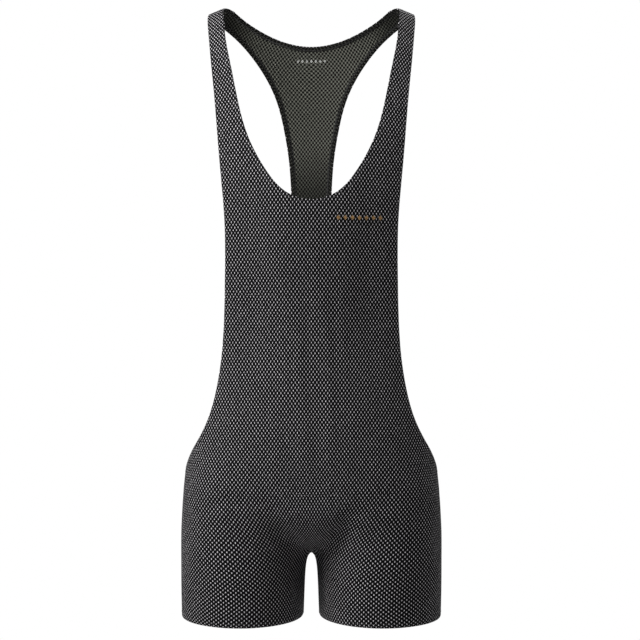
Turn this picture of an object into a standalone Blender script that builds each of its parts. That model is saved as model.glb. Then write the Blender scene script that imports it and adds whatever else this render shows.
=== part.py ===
"""A wrestling singlet, filled out as worn: front and racer back panels with turned-in hems.

Metres, +Z up, the front faces -Y and the wearer's left is +X. The origin lies midway between the
two straps, level with the tops of the shoulders that carry them.
"""

import bmesh
import bpy
import numpy as np

# ---------------------------------------------------------------- driving sizes
WALL = 0.0015  # thickness of the knit
SEAM_GAP = 0.0003  # between two pieces where they are sewn together
HEM_DEPTH = 0.007  # how far each edge is turned in
HEM_WALL = 0.0010  # thickness of the turned-in layer
HEM_CLEAR = 0.0003  # between the turned-in layer and the wall
STEEPEST_ROW = 0.45  # sine of the smallest angle between a row and an edge that hems allow for
LEG_END = -0.787  # height of the leg openings
SHOULDER_SEAM = 0.015  # behind the top of the shoulder, along the strap

# The general figure that gives the filled-out form
ROUNDNESS = 2.3  # exponent of its superellipse sections; 2 is an ellipse
SHOULDER_SLOPE = 0.466  # fall of the shoulder outwards, the tangent of 25 degrees
SHOULDER_START = 0.103  # out from the middle, where that fall begins
SHOULDER_SOFTNESS = 0.010  # how gently the fall begins
SHOULDER_FADE = 0.150  # below the shoulder, where the fall has died away
SEAT_LEVEL = -0.640  # the trunk closes below this height
TRUNK_END = -0.6935  # lowest point of the trunk, between the legs
GROIN_BLEND = 0.012  # softness of the joins between the trunk and the legs
CROTCH_BLEND = 0.006  # softness of the join between the legs
CHART_END = -0.440  # above this height the surface is read from the profile

# The body's profile in the middle plane, from the front over the shoulder to the back
PROFILE = (
    ("y", "z"),
    (-0.112, -0.660),
    (-0.114, -0.600),
    (-0.108, -0.520),
    (-0.101, -0.430),
    (-0.110, -0.350),
    (-0.122, -0.260),
    (-0.118, -0.190),
    (-0.103, -0.130),
    (-0.078, -0.070),
    (-0.042, -0.022),
    (0.000, 0.000),
    (0.034, -0.018),
    (0.060, -0.055),
    (0.086, -0.120),
    (0.104, -0.200),
    (0.100, -0.300),
    (0.078, -0.420),
    (0.088, -0.500),
    (0.114, -0.580),
    (0.122, -0.660),
)

# Half the trunk's width, down the body
TRUNK = (
    ("z", "half_width"),
    (-0.720, 0.080),
    (-0.690, 0.110),
    (-0.660, 0.135),
    (-0.630, 0.150),
    (-0.600, 0.158),
    (-0.560, 0.157),
    (-0.530, 0.153),
    (-0.430, 0.147),
    (-0.300, 0.156),
    (-0.200, 0.172),
    (-0.100, 0.192),
    (0.000, 0.200),
)

# One leg, down from where it leaves the trunk: the middle of its section, and its half sizes
LEG = (
    ("z", "middle", "half_width", "front", "back"),
    (-0.820, 0.0892, 0.0774, 0.099, 0.093),
    (-0.788, 0.0889, 0.0784, 0.100, 0.096),
    (-0.750, 0.0887, 0.0794, 0.101, 0.102),
    (-0.707, 0.0883, 0.0801, 0.102, 0.110),
    (-0.670, 0.0879, 0.0799, 0.101, 0.114),
    (-0.630, 0.0860, 0.0760, 0.098, 0.111),
    (-0.560, 0.0800, 0.0600, 0.085, 0.090),
)
LEG_TOP = -0.630  # above this height a leg rounds off inside the trunk
LEG_CAP = 0.070  # height of that rounded end

# Half the neckline, on the wearer's left: from the front, over the shoulder, to the back
NECK_EDGE = (
    ("x", "y", "z"),
    (0.0000, -0.122, -0.2595),
    (0.0340, -0.121, -0.248),
    (0.0560, -0.117, -0.223),
    (0.0765, -0.109, -0.185),
    (0.0910, -0.096, -0.136),
    (0.1010, -0.078, -0.088),
    (0.1085, -0.057, -0.052),
    (0.1130, -0.026, -0.014),
    (0.1120, -0.002, 0.000),
    (0.1015, 0.012, -0.004),
    (0.0890, 0.025, -0.012),
    (0.0700, 0.037, -0.023),
    (0.0445, 0.047, -0.034),
    (0.0000, 0.053, -0.042),
)

# The left armhole: from the top of the side seam up the front, over the shoulder and down the back
ARMHOLE_EDGE = (
    ("x", "y", "z"),
    (0.1620, 0.000, -0.6005),
    (0.1585, -0.022, -0.5915),
    (0.1505, -0.041, -0.5735),
    (0.1430, -0.053, -0.559),
    (0.1310, -0.065, -0.533),
    (0.1200, -0.070, -0.495),
    (0.1115, -0.073, -0.432),
    (0.1085, -0.083, -0.355),
    (0.1085, -0.095, -0.283),
    (0.1125, -0.097, -0.230),
    (0.1165, -0.094, -0.184),
    (0.1210, -0.085, -0.133),
    (0.1270, -0.066, -0.080),
    (0.1322, -0.037, -0.037),
    (0.1336, -0.010, -0.015),
    (0.1270, 0.016, -0.015),
    (0.1145, 0.032, -0.024),
    (0.0995, 0.044, -0.035),
    (0.0770, 0.059, -0.059),
    (0.0600, 0.071, -0.084),
    (0.0480, 0.081, -0.109),
    (0.0375, 0.093, -0.148),
    (0.0310, 0.102, -0.188),
    (0.0280, 0.105, -0.230),
    (0.0280, 0.103, -0.280),
    (0.0330, 0.094, -0.340),
    (0.0460, 0.080, -0.400),
    (0.0660, 0.076, -0.460),
    (0.0940, 0.078, -0.518),
    (0.1260, 0.070, -0.562),
    (0.1535, 0.040, -0.5915),
    (0.1620, 0.000, -0.6005),
)
CROTCH_ARCH = (0.014, 0.0075)  # height and half width of the arch between the legs

# The rows of cells of half a panel. A row runs from the inner edge (0 to 1 down the neckline,
# 1 to 2 down the middle, 2 to 3 down the inseam) to the outer edge (0 to 1 down the armhole,
# 1 to 2 down the side seam). Each line of a table says how many rows lead to it, evenly spaced.
FRONT_ROWS = (
    ("inner", "outer", "rows"),
    (0.00, 0.00, 0),
    (0.22, 0.115, 8),
    (1.00, 0.45, 14),
    (1.30, 0.68, 12),
    (1.72, 1.00, 12),
    (2.00, 1.45, 9),
    (3.00, 2.00, 7),
)
BACK_ROWS = (
    ("inner", "outer", "rows"),
    (0.00, 0.00, 0),
    (1.00, 0.17, 10),
    (1.28, 0.46, 12),
    (1.82, 1.00, 22),
    (2.00, 1.45, 9),
    (3.00, 2.00, 7),
)
COLUMNS = 12  # cells across half a panel
LEAN_REACH = 0.30  # share of the middle line over which rows begin to turn round the leg
ROW_RISE = 0.2  # how freely a row's points move up and down as they settle on the figure
ARMHOLE_LIFT = 0.5  # how steeply rows rise where the armhole meets the side seam
LIFT_REACH = 0.20  # share of the armhole over which they do

KNIT_COLOUR = (0.045, 0.045, 0.048)
HEM_COLOUR = (0.020, 0.020, 0.018)
KNIT_ROUGHNESS = 0.85
HEM_ROUGHNESS = 0.90
SHARP_ANGLE = 0.7  # radians
# How finely the curves and the surface are worked out
PROFILE_SAMPLES = 1200
LINE_SAMPLES = 400
ROW_SAMPLES = 49
GUIDE_SAMPLES = 20  # on a smooth path, for each point that guides it
COARSE_STEP = 10  # profile samples passed over in a first search
NEWTON_STEPS = 6
CHART_STEP = 0.0005
SLOPE_STEP = 0.0001
WIDEST_SHARE = 0.999  # of the half width, where the chart ends
SMALLEST_RATIO = 1e-6


def columns(table):
    """Return the columns of a table by name, in the order of its rows."""
    names = table[0]
    rows = np.array(table[1:], float)
    return dict(zip(names, rows.T))


def spline(knots, values):
    """Return the natural cubic spline through values at rising knots, as a function."""
    knots = np.asarray(knots, float)
    values = np.asarray(values, float)
    step = np.diff(knots)
    slope = np.diff(values) / step
    last = len(knots) - 1
    system = np.eye(last + 1)
    right = np.zeros(last + 1)
    for i in range(1, last):
        system[i, i - 1 : i + 2] = step[i - 1], 2 * (step[i - 1] + step[i]), step[i]
        right[i] = 6 * (slope[i] - slope[i - 1])
    bend = np.linalg.solve(system, right)

    def value(at):
        at = np.clip(at, knots[0], knots[-1])
        i = np.clip(np.searchsorted(knots, at) - 1, 0, last - 1)
        back = at - knots[i]
        ahead = knots[i + 1] - at
        cubic = (bend[i] * ahead**3 + bend[i + 1] * back**3) / (6 * step[i])
        low = (values[i] / step[i] - bend[i] * step[i] / 6) * ahead
        high = (values[i + 1] / step[i] - bend[i + 1] * step[i] / 6) * back
        return cubic + low + high

    return value


def path_lengths(points):
    """Return the distance travelled at each point of a path."""
    steps = np.linalg.norm(np.diff(points, axis=0), axis=1)
    return np.concatenate([[0.0], np.cumsum(steps)])


def smooth_path(points, count, before=(), after=()):
    """Return count points, evenly spaced, along the smooth curve through a few points.

    Points before and after them shape the curve's ends without being part of it.
    """
    guides = np.array([*before, *points, *after], float)
    lengths = path_lengths(guides)
    first = lengths[len(before)]
    last = lengths[len(before) + len(points) - 1]
    fine = np.linspace(first, last, GUIDE_SAMPLES * len(points))
    curve = np.stack([spline(lengths, axis)(fine) for axis in guides.T], axis=1)
    return evenly(curve, np.linspace(0, 1, count))


def evenly(path, fractions):
    """Return the points at the given fractions of a path's length."""
    lengths = path_lengths(path)
    at = np.asarray(fractions) * lengths[-1]
    return np.stack([np.interp(at, lengths, axis) for axis in path.T], axis=-1)


# ---------------------------------------------------------------- the figure
profile_table = columns(PROFILE)
profile_path = smooth_path(
    np.stack([profile_table["y"], profile_table["z"]], axis=1), PROFILE_SAMPLES
)
profile_along = path_lengths(profile_path)
summit = int(np.argmax(profile_path[:, 1]))
profile_along = profile_along - profile_along[summit]
front_profile = profile_path[: summit + 1]
back_profile = profile_path[summit:][::-1]

trunk_table = columns(TRUNK)
trunk_half_width = spline(trunk_table["z"], trunk_table["half_width"])
leg_table = columns(LEG)
leg_size = {
    name: spline(leg_table["z"], leg_table[name])
    for name in ("middle", "half_width", "front", "back")
}


def shoulder_fall(x, height):
    """Return how far the shoulder lies below the middle plane's profile, out at x."""
    out = np.maximum(np.abs(x) - SHOULDER_START, 0)
    soft = out**2 / (out + SHOULDER_SOFTNESS)
    near = np.clip(1 + height / SHOULDER_FADE, 0, 1)
    return SHOULDER_SLOPE * soft * near**2 * (3 - 2 * near)


def chart(x, along):
    """Return the points at x out from the middle and at a distance along the profile.

    The distance is counted from the top of the shoulder, negative down the front.
    """
    y = np.interp(along, profile_along, profile_path[:, 0])
    z = np.interp(along, profile_along, profile_path[:, 1])
    share = np.clip(np.abs(x) / trunk_half_width(z), 0, WIDEST_SHARE)
    depth = (1 - share**ROUNDNESS) ** (1 / ROUNDNESS)
    return np.stack([x, y * depth, z - shoulder_fall(x, z)], axis=-1)


def section(x, y, half_width, front, back):
    """Return a point's distance from the middle of a superellipse section, and its ratio to it.

    The ratio is 1 on the section's edge and more outside it.
    """
    depth = np.where(y < 0, front, back)
    ratio = (np.abs(x / half_width) ** ROUNDNESS + np.abs(y / depth) ** ROUNDNESS) ** (
        1 / ROUNDNESS
    )
    return np.hypot(x, y), ratio


def trunk_distance(x, y, z):
    """Return the approximate distance outside the trunk, which closes below SEAT_LEVEL."""
    front = -np.interp(z, front_profile[:, 1], front_profile[:, 0])
    back = np.interp(z, back_profile[:, 1], back_profile[:, 0])
    radius, ratio = section(x, y, trunk_half_width(z), front, back)
    drop = np.maximum(SEAT_LEVEL - z, 0)
    ratio = (ratio**ROUNDNESS + (drop / (SEAT_LEVEL - TRUNK_END)) ** ROUNDNESS) ** (
        1 / ROUNDNESS
    )
    return np.hypot(radius, drop) * (1 - 1 / np.maximum(ratio, SMALLEST_RATIO))


def leg_distance(x, y, z):
    """Return the approximate distance outside one leg, the one at positive x."""
    size = {name: value(z) for name, value in leg_size.items()}
    radius, ratio = section(
        x - size["middle"], y, size["half_width"], size["front"], size["back"]
    )
    rise = np.maximum(z - LEG_TOP, 0)
    ratio = (ratio**ROUNDNESS + (rise / LEG_CAP) ** ROUNDNESS) ** (1 / ROUNDNESS)
    return np.hypot(radius, rise) * (1 - 1 / np.maximum(ratio, SMALLEST_RATIO))


def soft_join(first, second, softness):
    """Return the distance outside two bodies whose join is rounded."""
    return -softness * np.logaddexp(-first / softness, -second / softness)


def outside(points):
    """Return the approximate distance of points outside the trunk and legs, softly joined."""
    x, y, z = points.T
    legs = soft_join(leg_distance(x, y, z), leg_distance(-x, y, z), CROTCH_BLEND)
    return soft_join(trunk_distance(x, y, z), legs, GROIN_BLEND)


def slope(points):
    """Return the gradient of outside() at points."""
    parts = []
    for axis in np.eye(3) * SLOPE_STEP:
        parts.append(outside(points + axis) - outside(points - axis))
    return np.stack(parts, axis=1) / (2 * SLOPE_STEP)


def unit(vectors):
    """Return the vectors at length one."""
    return vectors / np.linalg.norm(vectors, axis=-1, keepdims=True)


def along_profile(points):
    """Return the distance along the profile at which each point lies nearest to the chart."""
    samples = profile_along[::COARSE_STEP]
    x = np.repeat(points[:, :1], len(samples), axis=1)
    gaps = chart(x, np.broadcast_to(samples, x.shape)) - points[:, None]
    along = samples[(gaps**2).sum(axis=2).argmin(axis=1)]
    for _ in range(NEWTON_STEPS):
        heading = chart(points[:, 0], along + CHART_STEP) - chart(points[:, 0], along - CHART_STEP)
        heading = heading / (2 * CHART_STEP)
        gap = points - chart(points[:, 0], along)
        along = along + (gap * heading).sum(axis=1) / (heading**2).sum(axis=1)
    return along


def chart_normals(x, along):
    """Return the outward normals of the chart."""
    across = chart(x + CHART_STEP, along) - chart(x - CHART_STEP, along)
    ahead = chart(x, along + CHART_STEP) - chart(x, along - CHART_STEP)
    return unit(np.cross(across, ahead))


def settle(points, free=(1, 1, 1)):
    """Bring points onto the figure, and return them with the surface's normals.

    Free says how freely a point below the chart may move along each axis, from 0 to 1.
    """
    points = np.array(points, float)
    normals = np.empty_like(points)
    high = points[:, 2] > CHART_END
    if high.any():
        x = points[high, 0]
        along = along_profile(points[high])
        points[high] = chart(x, along)
        normals[high] = chart_normals(x, along)
    if not high.all():
        low = points[~high]
        for _ in range(NEWTON_STEPS):
            steepest = slope(low)
            pull = steepest * free
            low = low - (outside(low) / (steepest * pull).sum(axis=1))[:, None] * pull
        points[~high] = low
        normals[~high] = unit(slope(low))
    return points, normals


# ---------------------------------------------------------------- the lines of the pattern
def edge_line(table, mirrored):
    """Return the evenly sampled line on the figure that passes near a table's points.

    A mirrored table is half of a ring, and meets its mirror image smoothly at both ends.
    Otherwise it is a whole ring, whose last point is its first.
    """
    named = columns(table)
    points = np.stack([named["x"], named["y"], named["z"]], axis=1)
    if mirrored:
        before = points[2:0:-1] * (-1, 1, 1)
        after = points[-2:-4:-1] * (-1, 1, 1)
    else:
        before = points[-3:-1]
        after = points[1:3]
    line, _ = settle(smooth_path(points, LINE_SAMPLES, before, after))
    return evenly(line, np.linspace(0, 1, LINE_SAMPLES))


def split_at_shoulder(line, side):
    """Return the part of an edge before or behind the shoulder seam, from the seam downwards.

    The line runs from front to back. The side is -1 for the front panel and 1 for the back.
    """
    seam = SHOULDER_SEAM + side * SEAM_GAP / 2
    high = line[:, 2] > CHART_END
    along = np.where(line[:, 1] < 0, -1.0, 1.0)
    along[high] = along_profile(line[high])
    crossing = int(np.argmax(along > seam))
    x = np.interp(seam, along[crossing - 1 : crossing + 1], line[crossing - 1 : crossing + 1, 0])
    end = chart(np.array([x]), np.array([seam]))
    if side < 0:
        return np.concatenate([end, line[:crossing][::-1]])
    return np.concatenate([end, line[crossing:]])


def centre_line(top, side):
    """Return the middle line of a panel, from its neckline to the crotch."""
    heights = np.linspace(top, SEAT_LEVEL, LINE_SAMPLES)
    profile = front_profile if side < 0 else back_profile
    depth = np.interp(heights, profile[:, 1], profile[:, 0])
    straight = np.stack([0 * heights, depth, heights], axis=1)
    turn = np.linspace(0, np.pi / 2, LINE_SAMPLES)[1:]
    drop = SEAT_LEVEL - TRUNK_END
    curve = np.stack(
        [0 * turn, depth[-1] * np.cos(turn), SEAT_LEVEL - drop * np.sin(turn)], axis=1
    )
    line, _ = settle(np.concatenate([straight, curve]), free=(0, 1, 1))
    line[:, 0] = 0
    return line


def inseam(crotch):
    """Return the line down the inside of a leg, from the crotch to the leg's end."""
    turn = np.linspace(0, np.pi / 2, LINE_SAMPLES)[1:]
    height, width = CROTCH_ARCH
    arch = np.stack(
        [width * np.sin(turn), 0 * turn, crotch[2] - height * (1 - np.cos(turn))], axis=1
    )
    heights = np.linspace(arch[-1, 2], LEG_END, LINE_SAMPLES)[1:]
    straight = np.stack([width + 0 * heights, 0 * heights, heights], axis=1)
    line, _ = settle(np.concatenate([arch, straight]), free=(1, 0, 1))
    line[-1], _ = settle(np.array([[line[-1, 0], 0, LEG_END]]), free=(1, 0, 0))
    return np.concatenate([crotch[None], line])


def side_seam(top):
    """Return the line down the side, from the armhole to the leg's end."""
    heights = np.linspace(top[2], LEG_END, LINE_SAMPLES)
    line = np.stack([top[0] + 0 * heights, 0 * heights, heights], axis=1)
    line, _ = settle(line, free=(1, 0, 0))
    return line


def line_points(lines, places):
    """Return the points at places along joined lines, one line to each unit."""
    found = np.empty((len(places), 3))
    for i, place in enumerate(places):
        number = min(int(place), len(lines) - 1)
        found[i] = evenly(lines[number], place - number)
    return found


# ---------------------------------------------------------------- the panels
def row_places(table):
    """Return where each row of cells starts and ends, spaced evenly between a table's rows."""
    named = columns(table)
    counts = named["rows"].astype(int)
    steps = [np.linspace(0, 1, count + 1)[1:] + i for i, count in enumerate(counts[1:])]
    at = np.concatenate([[0.0], *steps])
    stations = np.arange(len(counts))
    return np.interp(at, stations, named["inner"]), np.interp(at, stations, named["outer"])


def row_path(start, end, lean, lift, free):
    """Return a finely sampled row on the surface, from a panel's inner to its outer edge.

    Lean turns the row's ends round a leg, to the front where it is negative, and lift raises
    its outer end. Its points settle along the free axes.
    """
    ends, normals = settle(np.array([start, end]))
    chord = end - start
    length = np.linalg.norm(chord)
    turns = np.array([[0, lean, 0], [0, -lean, lift]])
    headings = chord / length + turns
    headings = headings - (headings * normals).sum(axis=1, keepdims=True) * normals
    headings = unit(headings * np.sign(free))
    angle = np.arccos(np.clip(headings[0] @ headings[1], -1, 1))
    pull = length / np.cos(angle / 4) ** 2
    t = np.linspace(0, 1, ROW_SAMPLES)[:, None]
    path = (1 - t) ** 2 * (1 + 2 * t) * start + t**2 * (3 - 2 * t) * end
    path = path + pull * (t * (1 - t) ** 2 * headings[0] - t**2 * (1 - t) * headings[1])
    path, _ = settle(path, free)
    path[0], path[-1] = start, end
    return path


def ramp(value):
    """Return a soft step from 0 to 1."""
    value = np.clip(value, 0, 1)
    return value**2 * (3 - 2 * value)


class Panel:
    """The right half of a panel as a grid: rows from its inner edge to its outer edge."""

    def __init__(self, rows_table, side):
        neck = split_at_shoulder(edge_line(NECK_EDGE, mirrored=True), side)
        armhole = split_at_shoulder(edge_line(ARMHOLE_EDGE, mirrored=False), side)
        neck[-1, 0] = 0
        armhole[-1, 1] = 0
        middle = centre_line(neck[-1, 2], side)
        self.inner_lines = [neck, middle, inseam(middle[-1])]
        self.outer_lines = [armhole, side_seam(armhole[-1])]
        self.inner, self.outer = row_places(rows_table)
        self.joined = (self.inner >= 1) & (self.inner <= 2)  # rows that start on the middle line
        self.side = side
        self.points, self.normals = self.grid()
        self.part_from_seams()

    def grid(self):
        """Return the grid of points on the figure, and the normals there."""
        starts = line_points(self.inner_lines, self.inner)
        ends = line_points(self.outer_lines, self.outer)
        fractions = np.linspace(0, 1, COLUMNS + 1)
        points = np.empty((len(starts), COLUMNS + 1, 3))
        normals = np.empty_like(points)
        for j, (start, end) in enumerate(zip(starts, ends)):
            lean = self.side * ramp(1 - (2 - self.inner[j]) / LEAN_REACH)
            lift = ARMHOLE_LIFT * ramp(1 - abs(1 - self.outer[j]) / LIFT_REACH)
            free = (1, 1, 0 if self.inner[j] == 3 else ROW_RISE)  # a leg ends level
            path = row_path(start, end, lean, lift, free)
            points[j], normals[j] = settle(evenly(path, fractions), free)
            points[j, 0], points[j, -1] = start, end
        return points, normals

    def part_from_seams(self):
        """Straighten the normals on the seams and draw the panel back from its neighbour."""
        seam_back = self.side * SEAM_GAP / 2
        for column, sewn in ((0, self.inner >= 2), (-1, self.outer >= 1)):
            self.normals[sewn, column, 1] = 0
            self.points[sewn, column, 1] = seam_back
        self.normals[self.joined, 0, 0] = 0
        self.normals = unit(self.normals)

    def layer(self, depth):
        """Return the grid moved inwards from the outer face."""
        return self.points - depth * self.normals


def split(face, points, outward, ridge):
    """Return a four-sided face as two triangles, along its higher diagonal if ridge is true.

    Walls are split along ridges and what lies inside them along valleys, so that they stay apart.
    """
    a, b, c, d = face
    rise = (points[a] + points[c] - points[b] - points[d]) @ outward
    if (rise > 0) == ridge:
        return [(a, b, c), (a, c, d)]
    return [(a, b, d), (b, c, d)]


def panel_mesh(name, panel):
    """Return a closed mesh of a whole panel: both halves, both faces and the cut edges."""
    layers = np.stack([panel.layer(0), panel.layer(WALL)])
    both = np.stack([layers, layers * (-1, 1, 1)])
    numbers = np.arange(both[..., 0].size).reshape(both.shape[:-1])  # half, layer, row, column
    numbers[1][:, panel.joined, 0] = numbers[0][:, panel.joined, 0]
    points = both.reshape(-1, 3)
    outward = np.stack([panel.normals, panel.normals * (-1, 1, 1)])
    faces = []
    for half, (outer, inner) in enumerate(numbers):
        for j, i in np.ndindex(outer.shape[0] - 1, outer.shape[1] - 1):
            corners = ((j, i), (j + 1, i), (j + 1, i + 1), (j, i + 1))
            for layer in (outer, inner):
                face = [layer[corner] for corner in corners]
                faces += split(face, points, outward[half, j, i], ridge=True)
        for edge in cut_edges(*outer.shape, panel.joined):
            for here, there in zip(edge, edge[1:]):
                face = (outer[here], outer[there], inner[there], inner[here])
                faces += split(face, points, outward[half][here], ridge=True)
    return closed_mesh(name, points, faces)


def cut_edges(rows, width, joined):
    """Return the grid paths round one half of a panel, except where it joins the other half."""
    last = width - 1
    middle = np.flatnonzero(joined)
    outer_edge = [(j, last) for j in range(rows)]
    neck = [(j, 0) for j in range(middle[0] + 1)]
    leg = [(j, 0) for j in range(middle[-1], rows)]
    shoulder = [(0, i) for i in range(width)]
    hem = [(rows - 1, i) for i in range(width)]
    return outer_edge, neck, leg, shoulder, hem


def closed_mesh(name, points, faces):
    """Return a mesh with its unused points dropped and its faces turned outwards."""
    used, places = np.unique(np.array(faces), return_inverse=True)
    mesh = bpy.data.meshes.new(name)
    mesh.from_pydata(points[used].tolist(), [], places.reshape(-1, 3).tolist())
    shell = bmesh.new()
    shell.from_mesh(mesh)
    bmesh.ops.recalc_face_normals(shell, faces=shell.faces)
    shell.to_mesh(mesh)
    shell.free()
    return mesh


# ---------------------------------------------------------------- the turned-in hems
def walk(points, normals, reach):
    """Return the point and normal at a distance from the start of a path of grid points."""
    lengths = path_lengths(points)
    both = np.concatenate([points, normals], axis=1)
    found = np.array([np.interp(reach, lengths, axis) for axis in both.T])
    return found[:3], unit(found[3:])


def hem_section(points, normals, reach):
    """Return the four corners of a hem's section, which lies just inside the wall."""
    deep_point, deep_normal = walk(points, normals, reach)
    top = WALL + HEM_CLEAR
    bottom = top + HEM_WALL
    return [
        points[0] - top * normals[0],
        deep_point - top * deep_normal,
        deep_point - bottom * deep_normal,
        points[0] - bottom * normals[0],
    ]


def slanted_reach(points, neighbours):
    """Return how far to walk along a row so that the hem is HEM_DEPTH deep."""
    edge = unit(neighbours[1] - neighbours[0])
    row = unit(points[1] - points[0])
    across = np.linalg.norm(np.cross(edge, row))
    return HEM_DEPTH / max(across, STEEPEST_ROW)


def edge_sections(panel, column, last_row):
    """Return the hem's sections along an edge of a panel, from near the shoulder downwards."""
    sections = []
    for j in range(1, last_row):
        step = -1 if column else 1
        points = panel.points[j][::step]
        normals = panel.normals[j][::step]
        neighbours = panel.points[[j - 1, j + 1], column]
        sections.append(hem_section(points, normals, slanted_reach(points, neighbours)))
    return sections


def halfway(first, second):
    """Return the section midway between two."""
    return (np.array(first) + np.array(second)) / 2


def shoulder_section(front, back, column):
    """Return the hem's section over the shoulder seam."""
    ends = []
    for panel in (front, back):
        step = -1 if column else 1
        ends.append(
            hem_section(panel.points[0][::step], panel.normals[0][::step], HEM_DEPTH)
        )
    return halfway(*ends)


def corner_section(panel, column, row):
    """Return the hem's section where an edge turns into a seam or the middle line."""
    return hem_section(panel.points[row:, column], panel.normals[row:, column], HEM_DEPTH)


def neck_hem(front, back):
    """Return the sections of the neckline's hem, all the way round."""
    front_end = int(np.argmax(front.inner >= 1))
    back_end = int(np.argmax(back.inner >= 1))
    half = [
        *edge_sections(front, 0, front_end)[::-1],
        shoulder_section(front, back, 0),
        *edge_sections(back, 0, back_end),
    ]
    half = np.array(half)
    front_middle = corner_section(front, 0, front_end)
    back_middle = corner_section(back, 0, back_end)
    return np.array([front_middle, *half, back_middle, *(half[::-1] * (-1, 1, 1))])


def armhole_hem(front, back):
    """Return the sections of the left armhole's hem, all the way round."""
    front_end = int(np.argmax(front.outer >= 1))
    back_end = int(np.argmax(back.outer >= 1))
    bottom = halfway(
        corner_section(front, COLUMNS, front_end), corner_section(back, COLUMNS, back_end)
    )
    return np.array(
        [
            bottom,
            *edge_sections(front, COLUMNS, front_end)[::-1],
            shoulder_section(front, back, COLUMNS),
            *edge_sections(back, COLUMNS, back_end),
        ]
    )


def leg_hem(front, back):
    """Return the sections of the left leg's hem, all the way round."""
    rings = []
    for panel in (front, back):
        rings.append(
            [
                hem_section(panel.points[::-1, i], panel.normals[::-1, i], HEM_DEPTH)
                for i in range(COLUMNS + 1)
            ]
        )
    ahead, behind = np.array(rings)
    inseam_section = halfway(ahead[0], behind[0])
    side_section = halfway(ahead[-1], behind[-1])
    return np.array([inseam_section, *ahead[1:-1], side_section, *behind[1:-1][::-1]])


def ring_mesh(name, sections):
    """Return a closed mesh through four-cornered sections that run in a ring."""
    points = sections.reshape(-1, 3)
    faces = []
    for j, (top, _, _, bottom) in enumerate(sections):
        here, there = 4 * j, 4 * ((j + 1) % len(sections))
        for i in range(4):
            k = (i + 1) % 4
            face = (here + i, here + k, there + k, there + i)
            faces += split(face, points, top - bottom, ridge=False)
    return closed_mesh(name, points, faces)


# ---------------------------------------------------------------- the garment
def cloth_material(name, colour, roughness):
    """Return a plain cloth material."""
    material = bpy.data.materials.new(name)
    material.use_nodes = True
    shader = material.node_tree.nodes["Principled BSDF"]
    shader.inputs["Base Color"].default_value = (*colour, 1)
    shader.inputs["Roughness"].default_value = roughness
    shader.inputs["Metallic"].default_value = 0
    return material


def add_piece(name, mesh, material):
    """Put a finished mesh in the scene as one named piece."""
    mesh.materials.append(material)
    mesh.shade_smooth()
    mesh.set_sharp_from_angle(angle=SHARP_ANGLE)
    piece = bpy.data.objects.new(name, mesh)
    bpy.context.collection.objects.link(piece)


def main():
    """Build the singlet from its panels and hems."""
    for old in list(bpy.data.objects):
        bpy.data.objects.remove(old, do_unlink=True)
    front = Panel(FRONT_ROWS, side=-1)
    back = Panel(BACK_ROWS, side=1)
    for name, panel in (("front", front), ("back", back)):
        material = cloth_material(name, KNIT_COLOUR, KNIT_ROUGHNESS)
        add_piece(name, panel_mesh(name, panel), material)
    hems = {"neck_hem": neck_hem(front, back)}
    for name, ring in (("armhole_hem", armhole_hem), ("leg_hem", leg_hem)):
        sections = ring(front, back)
        hems[f"{name}_left"] = sections
        hems[f"{name}_right"] = sections * (-1, 1, 1)
    for name, sections in hems.items():
        material = cloth_material(name, HEM_COLOUR, HEM_ROUGHNESS)
        add_piece(name, ring_mesh(name, sections), material)


if __name__ == "__main__":
    main()
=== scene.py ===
"""The looks of the wrestling singlet: dotted mesh knit, turned-in hems, seams and a soft studio.

Metres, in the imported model's frame: +Z up, the front faces -Y and the wearer's left is +X. The
shown cloth follows the same lines and figure as the solids, on a finer grid.
"""

import math

import bmesh
import bpy
import numpy as np
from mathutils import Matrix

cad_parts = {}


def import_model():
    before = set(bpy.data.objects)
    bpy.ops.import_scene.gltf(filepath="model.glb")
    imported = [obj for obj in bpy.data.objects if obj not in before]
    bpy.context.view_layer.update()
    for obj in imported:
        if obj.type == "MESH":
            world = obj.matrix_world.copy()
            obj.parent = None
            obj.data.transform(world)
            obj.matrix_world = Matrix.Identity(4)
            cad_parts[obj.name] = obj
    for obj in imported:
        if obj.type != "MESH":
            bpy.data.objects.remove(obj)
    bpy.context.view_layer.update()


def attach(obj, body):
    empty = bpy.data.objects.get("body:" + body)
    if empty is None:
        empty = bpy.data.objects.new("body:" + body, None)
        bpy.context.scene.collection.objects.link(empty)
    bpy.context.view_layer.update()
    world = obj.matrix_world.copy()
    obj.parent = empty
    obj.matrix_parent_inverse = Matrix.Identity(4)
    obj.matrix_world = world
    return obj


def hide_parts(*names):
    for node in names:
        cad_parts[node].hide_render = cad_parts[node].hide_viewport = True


# ---------------------------------------------------------------- the cloth's sizes
CLOTH = 0.0008  # thickness of the knit
FOLD = 0.0009  # radius of the fold where an edge is turned in
LEG_END = -0.787  # height of the leg openings
SHOULDER_SEAM = 0.015  # behind the top of the shoulder, along the strap

# The general figure that gives the filled-out form
ROUNDNESS = 2.3  # exponent of its superellipse sections; 2 is an ellipse
SHOULDER_SLOPE = 0.466  # fall of the shoulder outwards, the tangent of 25 degrees
SHOULDER_START = 0.103  # out from the middle, where that fall begins
SHOULDER_SOFTNESS = 0.010  # how gently the fall begins
SHOULDER_FADE = 0.150  # below the shoulder, where the fall has died away
SEAT_LEVEL = -0.640  # the trunk closes below this height
TRUNK_END = -0.6935  # lowest point of the trunk, between the legs
GROIN_BLEND = 0.012  # softness of the joins between the trunk and the legs
CROTCH_BLEND = 0.006  # softness of the join between the legs
CHART_END = -0.440  # above this height the surface is read from the profile

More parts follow.
